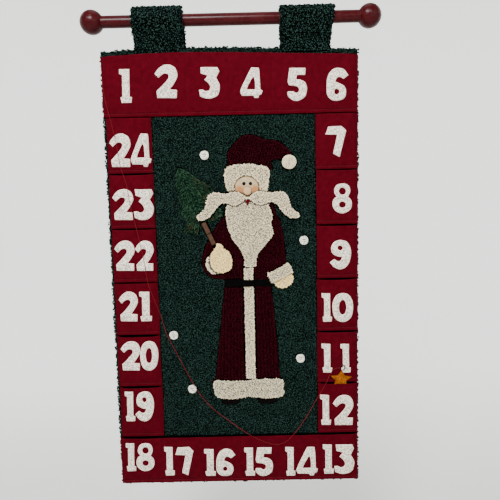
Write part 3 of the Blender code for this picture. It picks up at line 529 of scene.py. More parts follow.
class Look:
    """A Principled material whose colour, roughness and bump come from nodes in object space."""

    def __init__(self, name, slot=None, **values):
        self.mat = bpy.data.materials.new(name)
        self.mat.use_nodes = True
        self.tree = self.mat.node_tree
        self.shader = self.tree.nodes["Principled BSDF"]
        for socket, value in values.items():
            self.shader.inputs[socket.replace("_", " ")].default_value = value
        self.at = self.node("ShaderNodeTexCoord").outputs["Object"]
        self.normal = None

    def node(self, kind, inputs=None, **settings):
        made = self.tree.nodes.new(kind)
        for name, value in settings.items():
            setattr(made, name, value)
        for name, value in (inputs or {}).items():
            if isinstance(value, bpy.types.NodeSocket):
                self.tree.links.new(value, made.inputs[name])
            else:
                made.inputs[name].default_value = value
        return made

    def noise(self, size, detail=3.0, rough=0.55, stretch=None, turn=(0, 0, 0)):
        at = self.at
        if stretch:
            at = self.node("ShaderNodeMapping", {"Vector": at, "Scale": stretch,
                                                 "Rotation": turn}).outputs[0]
        return self.node("ShaderNodeTexNoise", {"Vector": at, "Scale": 1 / size, "Detail": detail,
                                                "Roughness": rough}).outputs["Fac"]

    def waves(self, size, axis="X", distortion=0.0):
        """Even ridges this far apart."""
        return self.node("ShaderNodeTexWave", {"Vector": self.at, "Scale": 1 / size * 0.314,
                                               "Distortion": distortion, "Detail": 1.0},
                         bands_direction=axis).outputs["Fac"]

    def mark(self, name):
        return self.node("ShaderNodeAttribute", attribute_name=name).outputs["Fac"]

    def math(self, kind, a, b=0.0):
        return self.node("ShaderNodeMath", {0: a, 1: b}, operation=kind).outputs[0]

    def sum(self, *parts):
        """The sum of (value, weight) pairs."""
        total = None
        for value, weight in parts:
            part = self.math("MULTIPLY", value, weight)
            total = self.math("ADD", total, part) if total else part
        return total

    def remap(self, value, low, high, to_low=0.0, to_high=1.0):
        return self.node("ShaderNodeMapRange", {"Value": value, "From Min": low, "From Max": high,
                                                "To Min": to_low, "To Max": to_high}).outputs[0]

    def mix(self, share, a, b):
        a = (*a, 1.0) if isinstance(a, tuple) else a
        b = (*b, 1.0) if isinstance(b, tuple) else b
        return self.node("ShaderNodeMix", {0: share, 6: a, 7: b}, data_type="RGBA").outputs[2]

    def ramp(self, value, *stops):
        made = self.node("ShaderNodeValToRGB", {"Fac": value})
        band = made.color_ramp
        while len(band.elements) < len(stops):
            band.elements.new(0.5)
        for element, (at, colour) in zip(band.elements, stops):
            element.position = at
            element.color = (*colour, 1.0)
        return made.outputs["Color"]

    def near(self, centre, radius):
        """1 at a point of the object, falling to 0 at the radius."""
        away = self.node("ShaderNodeVectorMath", {0: self.at, 1: centre}, operation="DISTANCE")
        return self.remap(away.outputs["Value"], radius, 0.0)

    def bump(self, height, depth, strength=1.0):
        inputs = {"Height": height, "Distance": depth, "Strength": strength}
        if self.normal:
            inputs["Normal"] = self.normal
        self.normal = self.node("ShaderNodeBump", inputs).outputs[0]

    def done(self, colour, rough=None):
        self.tree.links.new(colour, self.shader.inputs["Base Color"])
        if rough:
            self.tree.links.new(rough, self.shader.inputs["Roughness"])
        if self.normal:
            self.tree.links.new(self.normal, self.shader.inputs["Normal"])
        return self.mat


def pile_look(name, deep, dark, light, sheen=0.03, height=0.5, vary=0.26, slot=None):
    """A curly pile: painted shade deep down between its curls, then from dark to light up each curl,
    by height, as painted shade towards its root, and from curl to curl, by vary."""
    look = Look(name, slot, Roughness=0.95, Sheen_Weight=sheen, Sheen_Roughness=0.5,
                Sheen_Tint=(*light, 1.0), Specular_IOR_Level=0.01)
    fibres = look.noise(0.0005, 3.0, 0.7)
    # The lift mark with the deep and dark stops paints the shade that falls between the curls and down to
    # their roots; the tone mark gives each curl its own tone, with painted shade on ribbed cloth.
    tone = look.sum((look.mark("lift"), height), (look.mark("tone"), vary), (fibres, 0.16),
                    (look.noise(0.02, 3.0), 0.08))
    colour = look.ramp(tone, (0.24, deep), (0.46, dark), (0.86, light))
    look.bump(fibres, 0.0004, 0.7)
    return look.done(colour)


def felt_look(name, dark, light, mottle=0.004, edge=None, sheen=0.03, spread=(0.36, 0.66), shadowed_fold=None,
              slot=None):
    """Pressed wool: fine matted fibres, faint mottling, and fuzz that catches the light. A fold,
    given by a point on it and the way across it, is painted as a dark line of shadow."""
    look = Look(name, slot, Roughness=0.94, Sheen_Weight=sheen, Sheen_Roughness=0.45,
                Sheen_Tint=(*light, 1.0), Specular_IOR_Level=0.02)
    fibres = look.noise(0.0005, 4.0, 0.75, (1, 1, 0.45), (0, 0.5, 0))
    crossing = look.noise(0.0006, 3.0, 0.7, (0.45, 1, 1), (0, -0.4, 0))
    matted = look.sum((fibres, 0.5), (crossing, 0.5))
    tone = look.sum((look.noise(mottle, 4.0, 0.65), 0.6), (matted, 0.45))
    colour = look.ramp(tone, (spread[0], dark), (spread[1], light))
    if edge:
        # edge paints a lighter, pinker rim along a cut edge, a painted highlight where light catches it.
        colour = look.mix(look.remap(look.mark("edge"), 0.0015, 0.0002), colour, edge)
    # A painted shadow along the fold.
    if shadowed_fold:
        point, way = (np.array((p[0], 0, p[1])) for p in shadowed_fold)
        along = look.node("ShaderNodeVectorMath", {0: look.at, 1: way}, operation="DOT_PRODUCT")
        away = look.math("ABSOLUTE", look.math("SUBTRACT", along.outputs["Value"], float(point @ way)))
        colour = look.mix(look.remap(away, 0.001, 0.0005), colour, (0.004, 0.002, 0.001))
    look.bump(matted, 0.0005, 0.6)
    look.bump(look.noise(0.02, 2.0), 0.0012, 0.25)
    return look.done(colour)


def wood_look(name, dark, light):
    """Gloss paint over turned wood, worn a little in scattered scuffs."""
    look = Look(name, Specular_IOR_Level=0.12)
    grained = look.noise(0.004, 4.0, 0.6, (0.12, 1, 1))
    patches = look.noise(0.03, 3.0, 0.6)
    scuffs = look.noise(0.0022, 5.0, 0.7, (0.35, 1, 1))
    colour = look.ramp(look.sum((grained, 0.5), (patches, 0.5)), (0.35, dark), (0.65, light))
    colour = look.mix(look.remap(scuffs, 0.7, 0.78, 0, 0.3), colour, (0.1, 0.022, 0.02))
    look.bump(grained, 0.0004, 0.35)
    look.bump(look.noise(0.0012, 2.0), 0.0001, 0.3)
    return look.done(colour, look.remap(patches, 0.3, 0.7, 0.2, 0.32))


def cotton_look(name, dark, light):
    """A plain-woven lining."""
    look = Look(name, Roughness=0.9, Sheen_Weight=0.04, Specular_IOR_Level=0.03)
    weave = look.sum((look.waves(0.0011, "X", 0.6), 0.5), (look.waves(0.0011, "Z", 0.6), 0.5))
    tone = look.sum((weave, 0.45), (look.noise(0.006, 4.0, 0.6, (1, 1, 0.3)), 0.6))
    look.bump(weave, 0.00025, 0.7)
    look.bump(look.noise(0.03, 2.0), 0.002, 0.3)
    return look.done(look.ramp(tone, (0.3, dark), (0.8, light)))


def yarn_look(name, dark, light, rough=0.85, slot=None):
    look = Look(name, slot, Roughness=rough, Sheen_Weight=0.05, Specular_IOR_Level=0.1)
    look.bump(look.noise(0.0003, 3.0), 0.0002, 0.7)
    return look.done(look.ramp(look.noise(0.0006, 3.0, 0.6), (0.35, dark), (0.65, light)))


GREEN_BOUCLE = pile_look("green_boucle", (0.0003, 0.0008, 0.0007), (0.0019, 0.005, 0.0043),
                         (0.0225, 0.051, 0.041), height=0.44, vary=0.36)
CREAM_FUR = pile_look("cream_fur", (0.08, 0.072, 0.06), (0.55, 0.465, 0.32), (1.0, 0.87, 0.58))
# Darker copies of the cream fur, as painted shade: one for the beard and the right cuff, and a darker one
# for the hem band low on the robe.
SHADED_CREAM_FUR = pile_look("beard_fur", (0.065, 0.06, 0.05), (0.4, 0.35, 0.255), (1.0, 0.87, 0.58),
                      slot="cream_fur")
DEEP_SHADED_CREAM_FUR = pile_look("hem_fur", (0.058, 0.053, 0.045), (0.345, 0.31, 0.225), (0.92, 0.81, 0.55),
                    slot="cream_fur")
MITTEN_FLEECE = pile_look("mitten_fleece", (0.4, 0.27, 0.1), (0.98, 0.69, 0.29), (1.0, 0.84, 0.4))
ROBE_CLOTH = pile_look("robe_cloth", (0.001, 0.0001, 0.0002), (0.0075, 0.0004, 0.001),
                       (0.05, 0.0036, 0.0085), height=0.32, vary=0.44)
FIR_CLOTH = pile_look("fir_cloth", (0.0004, 0.0016, 0.0011), (0.0025, 0.01, 0.006),
                      (0.014, 0.048, 0.027))
NEEDLE_GREEN = pile_look("fir_needles", (0.0012, 0.006, 0.003), (0.006, 0.026, 0.013),
                         (0.085, 0.185, 0.1), height=0.3, vary=0.46, slot="fir_cloth")
NEEDLE_BROWN = pile_look("fir_twigs", (0.004, 0.002, 0.001), (0.018, 0.01, 0.005),
                         (0.15, 0.07, 0.03), height=0.3, vary=0.46, slot="fir_cloth")
RED_FELT = felt_look("red_felt", (0.043, 0.0007, 0.003), (0.071, 0.0021, 0.0061), 0.007, sheen=0.02)
# The numerals' felt has a painted highlight: a lighter, pinker rim along its cut edges.
WHITE_FELT = felt_look("white_felt", (0.3, 0.28, 0.25), (1.0, 0.88, 0.72), 0.0023,
                       edge=(0.92, 0.7, 0.62), spread=(0.475, 0.565))
SNOW_FELT = felt_look("snow_felt", (0.4, 0.4, 0.36), (0.95, 0.92, 0.74), 0.0024,
                      spread=(0.47, 0.56), slot="white_felt")
BLACK_FELT = felt_look("black_felt", (0.0008, 0.0007, 0.0007), (0.0022, 0.0019, 0.0019), sheen=0.0)
BOOT_FELT = felt_look("boot_felt", (0.0014, 0.0011, 0.001), (0.0036, 0.0026, 0.0024), sheen=0.0)
# The trunk's felt has a painted shadow: a dark line along the fold between its two pieces.
TRUNK_FELT = felt_look("trunk_felt", (0.034, 0.016, 0.009), (0.086, 0.046, 0.03), 0.003,
                       shadowed_fold=(seen(210.3, 233.0, -0.007), (0.42, -0.91)))
MOUTH_FELT = felt_look("mouth_felt", (0.06, 0.001, 0.004), (0.115, 0.002, 0.008))
RED_WOOD = wood_look("red_painted_wood", (0.029, 0.0014, 0.0024), (0.05, 0.0028, 0.0044))
GREEN_COTTON = cotton_look("green_cotton", (0.0022, 0.01, 0.0075), (0.0085, 0.03, 0.022))
RED_THREAD = yarn_look("red_thread", (0.08, 0.001, 0.004), (0.18, 0.004, 0.009))
LOOP_CORD = yarn_look("loop_cord", (0.02, 0.001, 0.0028), (0.07, 0.004, 0.008))
STITCH_RED = yarn_look("stitch_red", (0.055, 0.002, 0.006), (0.11, 0.008, 0.016), slot="red_felt")
STITCH_GREEN = yarn_look("stitch_green", (0.003, 0.013, 0.009), (0.01, 0.034, 0.025),
                         slot="green_cotton")
STITCH_GREY = yarn_look("stitch_grey", (0.03, 0.028, 0.024), (0.07, 0.064, 0.052), slot="white_felt")


# The thread, which hangs from the corner of the top pockets to the star

# How far the hanging sits along the rod from its middle, and the thread's radius. Its strands and
# the loop's press into each other by the same share.
TABS_AT = -0.0035
THREAD_RADIUS, PLY = 0.0005, 0.12
ROUTE = [
    (-0.202, -0.006, -0.06), (-0.2017, -0.0064, -0.072), (-0.2008, -0.0076, -0.09),
    (-0.1985, -0.0092, -0.116), (-0.19, -0.0112, -0.154), (-0.183, -0.0112, -0.19),
    (-0.1785, -0.0112, -0.224), (-0.17, -0.0112, -0.254), (-0.1655, -0.0112, -0.287),
    (-0.157, -0.0112, -0.327), (-0.148, -0.0112, -0.374), (-0.1425, -0.0111, -0.415),
    (-0.133, -0.0102, -0.445), (-0.1245, -0.0088, -0.47), (-0.1155, -0.0074, -0.503),
    (-0.0985, -0.0068, -0.54), (-0.08, -0.0066, -0.579), (-0.064, -0.0066, -0.608),
    (-0.043, -0.0066, -0.634), (-0.019, -0.0074, -0.653), (0.0000, -0.0092, -0.667),
    (0.019, -0.011, -0.68), (0.04, -0.0113, -0.691), (0.06, -0.0113, -0.6975),
    (0.077, -0.0113, -0.695), (0.09, -0.0112, -0.684), (0.103, -0.0108, -0.668),
    (0.117, -0.0106, -0.647), (0.13, -0.0109, -0.624), (0.142, -0.0116, -0.604),
    (0.15, -0.0121, -0.588), (0.156, -0.0125, -0.5745), (0.163, -0.0128, -0.5668),
    (0.1716, -0.0128, -0.565),
]


def smooth_line(points, steps):
    ends = [points[0], *points, points[-1]]
    out = []
    for a, b, c, d in zip(ends, ends[1:], ends[2:], ends[3:]):
        a, b, c, d = (np.array(p, float) for p in (a, b, c, d))
        out += [catmull(a, b, c, d, s / steps) for s in range(steps)]
    return np.array([*out, points[-1]])


def make_thread(star_pieces):
    line = smooth_line(ROUTE, 12) + (TABS_AT, 0, 0)
    obj = piece("thread", *tube_mesh(line, THREAD_RADIUS, 8, PLY, 2400), RED_THREAD, None,
                ["marker_thread"])
    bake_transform(obj)


# Rod, tabs, panel and lining

def make_rod():
    for node in ("dowel", "finial_left", "finial_right"):
        NODES[node].data.materials.clear()
        NODES[node].data.materials.append(RED_WOOD)


def teardrop(radius, half_width, depth, share):
    """The point at this share of the way round a circle between its tangents to a foot."""
    reach = math.hypot(half_width, depth)
    start = math.atan2(-depth, half_width) + math.acos(radius / reach)
    a = start + (math.pi - 2 * start) * share
    return math.cos(a) * radius, math.sin(a) * radius


def tab_line(radius, foot, hem, half_width):
    """The line of a strap from its back hem over the rod to its front hem, as (y, z)."""
    first = teardrop(radius, half_width, foot, 0)
    line = [(half_width, -hem + (hem - foot) * t) for t in np.linspace(0, 1, 4)[:-1]]
    line += [(half_width + (first[0] - half_width) * t, -foot + (first[1] + foot) * t)
             for t in np.linspace(0, 1, 8)[:-1]]
    line += [teardrop(radius, half_width, foot, t) for t in np.linspace(0, 0.5, 12)]
    return np.array(line + [(-y, z) for y, z in line[-2::-1]])


def even_run(line, count):
    """This many even points on an open line, and how far along it each is."""
    reach = reach_of(line)
    at = np.linspace(0, reach[-1], count)
    return np.column_stack([np.interp(at, reach, v) for v in line.T]), at


# How far each tab's left and right edges lie from the CAD's, at its hem and at its top, and how
# much flatter than the CAD's it lies over the rod
TAB_LEAN = {"tab_left": ((0.0, 0.0, 0.0005, -0.0045), 0.0015),
            "tab_right": ((-0.0005, 0.0, -0.0025, 0.0045), 0.0042)}
TAB_HEM_DROP = 0.007
# Where the strap's outer and inner face leave the circle round the rod, below the rod's middle,
# and half of how far apart front and back lie from there down
OUTER_FOOT, OUTER_HALF = 0.038, 0.004
INNER_FOOT, INNER_HALF, TAB_SLACK = 0.026, 0.0003, 0.0006
TAB_ROWS, TAB_COLUMNS = 112, 15


def make_tab(node, seed):
    """A double strap of boucle over the rod: its cloth, and curls on its face and down its sides."""
    (x0, _, z0), (x1, y1, z1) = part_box(node)
    lean, flatter = TAB_LEAN[node]
    hem = TAB_HEM_DROP - z0
    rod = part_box("dowel")[1][2] + TAB_SLACK
    outer, at = even_run(tab_line(y1 - flatter, OUTER_FOOT, hem, OUTER_HALF), TAB_ROWS)
    inner, _ = even_run(tab_line(rod, INNER_FOOT, hem, INNER_HALF), TAB_ROWS)
    out = normals(np.gradient(outer, axis=0))

    def edge_x(z, right, deep=0.0):
        """Where an edge lies. Deep in the strap it leans out less, to stay clear of the ball ends."""
        up = np.clip((z - z0) / (z1 - z0), 0, 1)
        low, high = lean[2 * right:2 * right + 2]
        shift = low + (high - low) * up
        shift = np.where(shift * (2 * right - 1) > 0, shift * (1 - deep), shift)
        return (x1 if right else x0) + shift

    def across(share, z, deep=0.0):
        return edge_x(z, 0, deep) * (1 - share) + edge_x(z, 1, deep) * share

    share = np.linspace(0, 1, TAB_COLUMNS)[None, :]
    sheets = [layer(across(share, line[:, 1:], deep), line[:, :1], line[:, 1:])
              for deep, line in ((0.0, outer), (1.0, inner))]
    verts, faces = two_sided(*sheets, TAB_ROWS, TAB_COLUMNS)
    # lift 0.05 paints the strap's cloth in the pile's dark, the painted shade deep between its curls.
    tab = piece(node.replace("tab", "boucle_tab"), verts, [f[::-1] for f in faces], GREEN_BOUCLE, None,
                [node], {"lift": 0.05, "tone": 0.3})
    spots = scattered(rectangle(x0, 0, x1, at[-1]), TAB_PITCH, seed, 0.0008)
    spot_y, spot_z, way_y, way_z = (np.interp(spots[:, 1], at, v) for v in (*outer.T, *out.T))
    face = np.column_stack((across((spots[:, 0] - x0) / (x1 - x0), spot_z), spot_y, spot_z))
    ways = np.column_stack((spot_y * 0, way_y, way_z))
    rng = np.random.default_rng(seed)
    sunk = rng.uniform(-0.0008, 0.0013, (len(spots), 1))
    places, aims, charts = [face - ways * sunk], [ways], [spots]
    for right in (0, 1):
        for depth in (0.08, 0.45, 0.85):
            s = np.arange(0, at[-1], TAB_PITCH * 0.8)
            k = s / at[-1] * (TAB_ROWS - 1)
            y, z = (np.interp(k, np.arange(TAB_ROWS), v)
                    for v in (outer * (1 - depth) + inner * depth).T)
            side = np.full(len(s), 2 * right - 1.0)
            loose = side * (rng.uniform(-0.0015, 0.0022, len(s)) * (1.1 - depth) + depth * 0.0024)
            places.append(np.column_stack((edge_x(z, right, depth) - loose, y, z)))
            aims.append(np.column_stack((side, y * 8 * (1 - depth), z * 8 * (1 - depth))))
            charts.append(np.column_stack((edge_x(z, right) + side * (depth + 0.1) * 0.008, s)))
    curls = stand_curls(tab.name + "_curls", np.vstack(places), np.vstack(aims), TAB_CURL, seed,
                        GREEN_BOUCLE, None, np.vstack(charts))
    for obj in (tab, curls):
        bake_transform(obj)


# The top pockets' mouth isn't quite straight: how far it lies above the CAD's at five places
MOUTH_AT = (-0.2065, -0.15, -0.096, 0.03, 0.1995)
MOUTH_RISE = (0.0006, 0.0039, 0.0049, 0.0027, -0.0028)
MOUTH_LINE = np.polyfit(MOUTH_AT, MOUTH_RISE, 3)
TOP_MARGIN = 0.0094

DOTS = [f"snow_dot_{k}" for k in range(1, 6)]
ON_PANEL = ("cap", "robe", "cap_brim", "beard", "hem_band", "boot_left", "boot_right", "cuff_right",
            "cuff_left", "moustache", "pompom", "tree_trunk")
# The panel's curls are three pieces, from one height to the next
PANEL_PARTS = (("lower", -9, -0.53), ("middle", -0.53, -0.3), ("upper", -0.3, 9))
HEM_INSET = 0.006


def make_panel():
    """The boucle panel: its cloth, the curls on it where nothing lies over them, and its rough edge."""
    (x0, y0, z0), (x1, y1, z1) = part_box("backing_panel")
    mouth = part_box("top_pocket_strip")[1][2]
    top_x = np.linspace(x1, x0, 60)
    top = np.column_stack((top_x, mouth + np.polyval(MOUTH_LINE, top_x) + TOP_MARGIN - CURL))
    loop = np.vstack((((x0, z0), (x1, z0)), top))
    felts = [rectangle(*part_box(n)[0].xz, *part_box(n)[1].xz) for n in NODES if "pocket" in n]
    for felt in felts:
        felt[2:, 1] += np.polyval(MOUTH_LINE, felt[2:, 0]) * (felt[2, 1] == mouth)
    figure = [outline_of(n) for n in (*ON_PANEL, *DOTS)] + [fir_line()]
    spots = scattered(loop, PITCH, 3, 0.0002, felts + figure, 0.0009)
    rim = evenly(loop, TAB_PITCH * 0.7)
    away = outward(rim)
    for part, low, high in PANEL_PARTS:
        here, there = ((p[:, 1] > low) & (p[:, 1] <= high) for p in (spots, rim))
        a, b, w = spots[here], rim[there], away[there]
        rng = np.random.default_rng(7)
        b = b - w * rng.uniform(-0.0014, 0.0018, (len(b), 1))
        at = np.vstack((raised(a, y0 + rng.uniform(0.0002, 0.0016, len(a))),
                        raised(b, rng.uniform(y0 + 0.0005, 0, len(b)))))
        shape = np.tile(CURL_SHAPE, (len(at), 1))
        shape[len(a):] *= 1.7
        (stand_curls(f"boucle_curls_{part}", at, np.vstack((facing(len(a)), raised(w, -0.5))),
                                 CURL, 5, GREEN_BOUCLE, shape=shape).name)
    cut_cloth("boucle_panel", loop, y1 - y0 - 0.001, GREEN_BOUCLE, "backing_panel", step=0.005,
              soft=0.001)


def running_stitch(a, b, depth, side=1, pitch=0.0032, share=0.72, radius=0.00028):
    """Short stitches from a to b over a surface whose y is depth(x, z)."""
    a, b = np.array(a, float), np.array(b, float)
    count = max(1, int(np.linalg.norm(b - a) / pitch))
    parts = []
    for k in range(count):
        t = (k + np.array((0.0, 0.12, 0.5, 0.88, 1.0)) * share + (1 - share) / 2) / count
        p = a + (b - a) * t[:, None]
        y = np.array([float(depth(x, z)) for x, z in p])
        y -= side * radius * np.array((-0.6, 0.25, 0.45, 0.25, -0.6))
        parts.append(tube_mesh(raised(p, y), radius, 6, taper=(0.5, 0.9, 1, 0.9, 0.5)))
    return parts


def make_lining():
    (x0, y0, z0), (x1, y1, z1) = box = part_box("lining")
    x, z = np.meshgrid(*(stations(low, high, 0.004, (0.0004, 0.0012)) for low, high in ((x0, x1), (z0, z1))))
    edge = border(x, z, box)
    seam = np.exp(-((edge - HEM_INSET) / 0.0008) ** 2)
    pucker = 0.25 + 0.12 * drift(x, z, 0.045, 31) + 0.08 * drift(x, z * 0.4, 0.016, 32)
    thick = (y1 - y0) * (rounded(edge, 0.001, 0.3) - np.clip(
        pucker * np.clip(edge / 0.03, 0, 1) + 0.3 * seam, 0, 0.6))
    sewn_sheet("cotton_lining", "lining", x, y0, y0 + thick, z, GREEN_COTTON)
    corners = rectangle(x0 + HEM_INSET, z0 + HEM_INSET, x1 - HEM_INSET, z1 - HEM_INSET)
    parts = []
    for a, b in zip(corners, np.roll(corners, -1, axis=0)):
        parts += running_stitch(a, b, lambda x, z: y0 + (y1 - y0) * 0.62, -1)
    piece("hem_stitches", *joined(parts), STITCH_GREEN)


# Pockets

GAPE, FELT, SIDE_SEAM, FOOT = 0.0052, 0.0015, 0.002, 0.005
# How far each pocket's mouth sags in the middle, in mm, by day
SAG = {23: 1.4, 22: 0.5, 21: 0.4, 20: 1.3, 19: 0.8, 18: 0.7, 8: 0.7, 9: 1.0, 10: 0.8, 11: 0.3,
       12: 0.3, 13: 0.5, 14: 0.3, 15: 0.3, 16: 0.5, 17: 0.4, 1: 0.3, 2: 0.2, 3: 0.2, 4: 0.3}
# How far apart a felt's grid lines lie, and where more of them lie near its sides, its seams
# between pockets, and its foot
FELT_STEP = 0.0021
NEAR_SIDE = (0.0004, 0.0011, 0.002, 0.0034)
NEAR_SEAM = (-0.0034, -0.002, -0.0009, 0, 0.0009, 0.002, 0.0034)
NEAR_FOOT = (0.0004, 0.0011, 0.003, 0.0044, 0.005, 0.0056, 0.0064)


def pocket_fields(node):
    """(count, first day, step of the day) for the pockets in a felt node."""
    if node == "top_pocket_strip":
        return 6, 1, 1
    if node == "bottom_pocket_strip":
        return 6, 18, -1
    return 1, int(node[-2:]), 1


def pocket_shape(node):
    """What tells the y of the felt's front and how far it lifts at any (x, z), and the felt's box,
    its pockets' pitch and their count."""
    box = (x0, _, z0), (x1, y1, z1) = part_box(node)
    count, first, by = pocket_fields(node)
    pitch = (x1 - x0) / count

    def lift(x, z):
        field = np.clip(np.floor((x - x0) / pitch), 0, count - 1)
        u = np.clip((x - x0 - field * pitch - SIDE_SEAM) / (pitch - 2 * SIDE_SEAM), 0, 1)
        v = np.clip((z - z0 - FOOT) / (z1 - z0 - FOOT), 0, 1)
        across = (1 - np.abs(2 * u - 1) ** 5) ** 0.65
        if count > 1:
            joined_up = (field > 0) & (u < 0.5) | (field < count - 1) & (u > 0.5)
            across = np.where(joined_up, 0.86 + 0.14 * across, across)
        up = 1 - (1 - v) ** 4
        slack = 0.92 + 0.08 * drift(x, z, 0.03, first)
        crease = 0.05 * drift(x * 0.5 + z, z - x, 0.012, first + 40) * v
        return GAPE * across * up * (slack + crease), across, v, first + by * field

    def front(x, z):
        return y1 - lift(x, z)[0] - FELT

    return front, lift, box, pitch, count


def make_pocket(node):
    """A felt with its open pockets, and the stitches down its seams. Returns what tells its front's y."""
    front, lift, box, pitch, count = pocket_shape(node)
    (x0, _, z0), (x1, y1, z1) = box
    xs = stations(x0, x1, FELT_STEP, NEAR_SIDE)
    if count > 1:
        seams = [x0 + pitch * k for k in range(1, count)]
        near = [s + d for s in seams for d in NEAR_SEAM]
        xs = np.array(sorted([v for v in xs if min(abs(v - s) for s in seams) > 0.0042] + near))
    x, z = np.meshgrid(xs, stations(z0, z1, FELT_STEP, NEAR_FOOT))
    rise, across, v, day = lift(x, z)
    groove = np.exp(-((z - z0 - FOOT) / 0.0007) ** 2)
    for k in range(1, count):
        groove = np.maximum(groove, np.exp(-((x - x0 - pitch * k) / 0.0006) ** 2) * 0.25)
    thick = FELT * rounded(border(x, z, box), 0.0009, 0.55) - 0.0006 * groove
    sag = np.vectorize(lambda d: SAG.get(int(d), 0.4))(day) / 1000
    seed = int(day.max())
    drop = sag * across * v ** 3 + 0.0004 * drift(x, x * 0, 0.028, seed) * (z - z0) / (z1 - z0)
    if node == "top_pocket_strip":
        drop = drop - np.polyval(MOUTH_LINE, x) * v ** 2
    sway = 0.0005 * drift(z, z * 0, 0.03, seed + 5) * (count == 1)
    felt = sewn_sheet(node.replace("pocket", "felt_pocket"), node, x + sway, y1 - rise - thick,
                      y1 - rise, z - drop, RED_FELT)

    def skin(px, pz):
        return front(px, pz) + 0.0005

    parts = running_stitch((x0 + 0.002, z0 + FOOT), (x1 - 0.002, z0 + FOOT), skin)
    for k in range(count + 1):
        at = min(max(x0 + pitch * k, x0 + 0.0016), x1 - 0.0016)
        parts += running_stitch((at, z0 + 0.002), (at, z1 - 0.004), skin)
    piece(felt.name + "_stitches", *joined(parts), STITCH_RED)
    return front


# Numerals, cut from white felt: outlines in shares of their width and height

DIGIT_SHARES = {
    "1": [[(.02, .99, 1), (.79, .99, 1), (.82, .18, 1), (.99, .18, 1), (.97, .01, 1), (.19, 0, 1),
           (.12, .17, 1), (.26, .185, 1), (.24, .815, 1), (.02, .85, 1)]],
    "2": [[(0, .715, 1), (.18, .6, 1), (.32, .69), (.46, .73), (.6, .695), (.605, .6),
           (.5, .49), (.31, .35), (.09, .205, 1), (.12, 0, 1), (.965, 0, 1), (.975, .24, 1),
           (.66, .255, 1), (.82, .4), (.975, .595), (.99, .73), (.885, .9), (.65, .99),
           (.38, .975), (.16, .87)]],
    "3": [[(.06, .99, 1), (.88, .99, 1), (.97, .86, 1), (.81, .655, 1), (.965, .47), (.99, .31),
           (.89, .11), (.62, .01), (.33, 0), (.05, .07, 1), (0, .27, 1), (.18, .275), (.3, .235),
           (.45, .25), (.53, .33), (.5, .43), (.38, .53), (.25, .59, 1), (.42, .725, 1),
           (.1, .785, 1)]],
    "4": [[(.47, .97), (.56, .995), (.83, .99, 1), (.865, .8), (.905, .28, 1), (1, .245, 1),
           (.96, .125, 1), (.855, .1, 1), (.815, .01, 1), (.62, .01, 1), (.605, .075, 1),
           (.07, .075, 1), (0, .17), (.02, .3), (.235, .63)],
          [(.28, .28, 1), (.67, .28, 1), (.65, .56), (.57, .68), (.37, .44)]],
    "5": [[(.09, .96), (.2, .995), (.92, .995, 1), (.9, .79, 1), (.48, .78, 1), (.44, .65, 1),
           (.68, .635), (.91, .55), (1, .37), (.91, .13), (.61, .01), (.34, 0), (.09, .09),
           (0, .2), (.02, .28, 1), (.31, .285, 1), (.41, .24), (.54, .25), (.6, .33),
           (.54, .41), (.37, .45), (.07, .47, 1), (.01, .57, 1)]],
    "6": [[(.99, .78, 1), (.77, .66, 1), (.62, .72), (.48, .7), (.4, .575, 1), (.62, .52),
           (.83, .42), (.895, .25), (.8, .07), (.53, 0), (.24, .02), (.04, .17), (0, .44),
           (.04, .7), (.19, .9), (.45, 1), (.77, .96)],
          [(.58, .275), (.55, .335), (.465, .36), (.38, .335), (.35, .275), (.38, .215),
           (.465, .19), (.55, .215)]],
    "7": [[(.13, .975, 1), (.76, 1, 1), (1, .855, 1), (.92, .64), (.7, 0, 1), (.375, .105, 1),
           (.565, .715, 1), (0, .725, 1)]],
    "8": [[(.505, 1), (.79, .945), (.905, .775), (.835, .61), (.785, .565, 1), (.955, .445),
           (1, .28), (.875, .1), (.505, 0), (.155, .09), (0, .28), (.05, .465), (.215, .565, 1),
           (.105, .665), (.085, .785), (.2, .94)],
          [(.69, .745), (.635, .83), (.505, .865), (.375, .83), (.32, .745), (.375, .66),
           (.505, .625), (.635, .66)],
          [(.69, .295), (.635, .37), (.51, .4), (.385, .37), (.33, .295), (.385, .22), (.51, .19),
           (.635, .22)]],
    "9": [[(0, .245, 1), (.2, .355, 1), (.35, .29), (.49, .3), (.585, .425, 1), (.38, .445),
           (.14, .53), (.05, .71), (.17, .92), (.47, 1), (.76, .96), (.94, .795), (1, .57),
           (.94, .28), (.76, .075), (.47, 0), (.2, .075), (.04, .195)],
          [(.6, .73), (.565, .79), (.48, .813), (.395, .79), (.36, .73), (.395, .67), (.48, .647),
           (.565, .67)]],
    "0": [[(.5, 1), (.8, .93), (.98, .7), (1, .42), (.9, .15), (.65, .01), (.36, .01),
           (.11, .14), (0, .42), (.02, .7), (.2, .93)],
          [(.5, .77), (.62, .7), (.67, .5), (.62, .31), (.48, .255), (.35, .33), (.31, .52),
           (.36, .69)]],
}
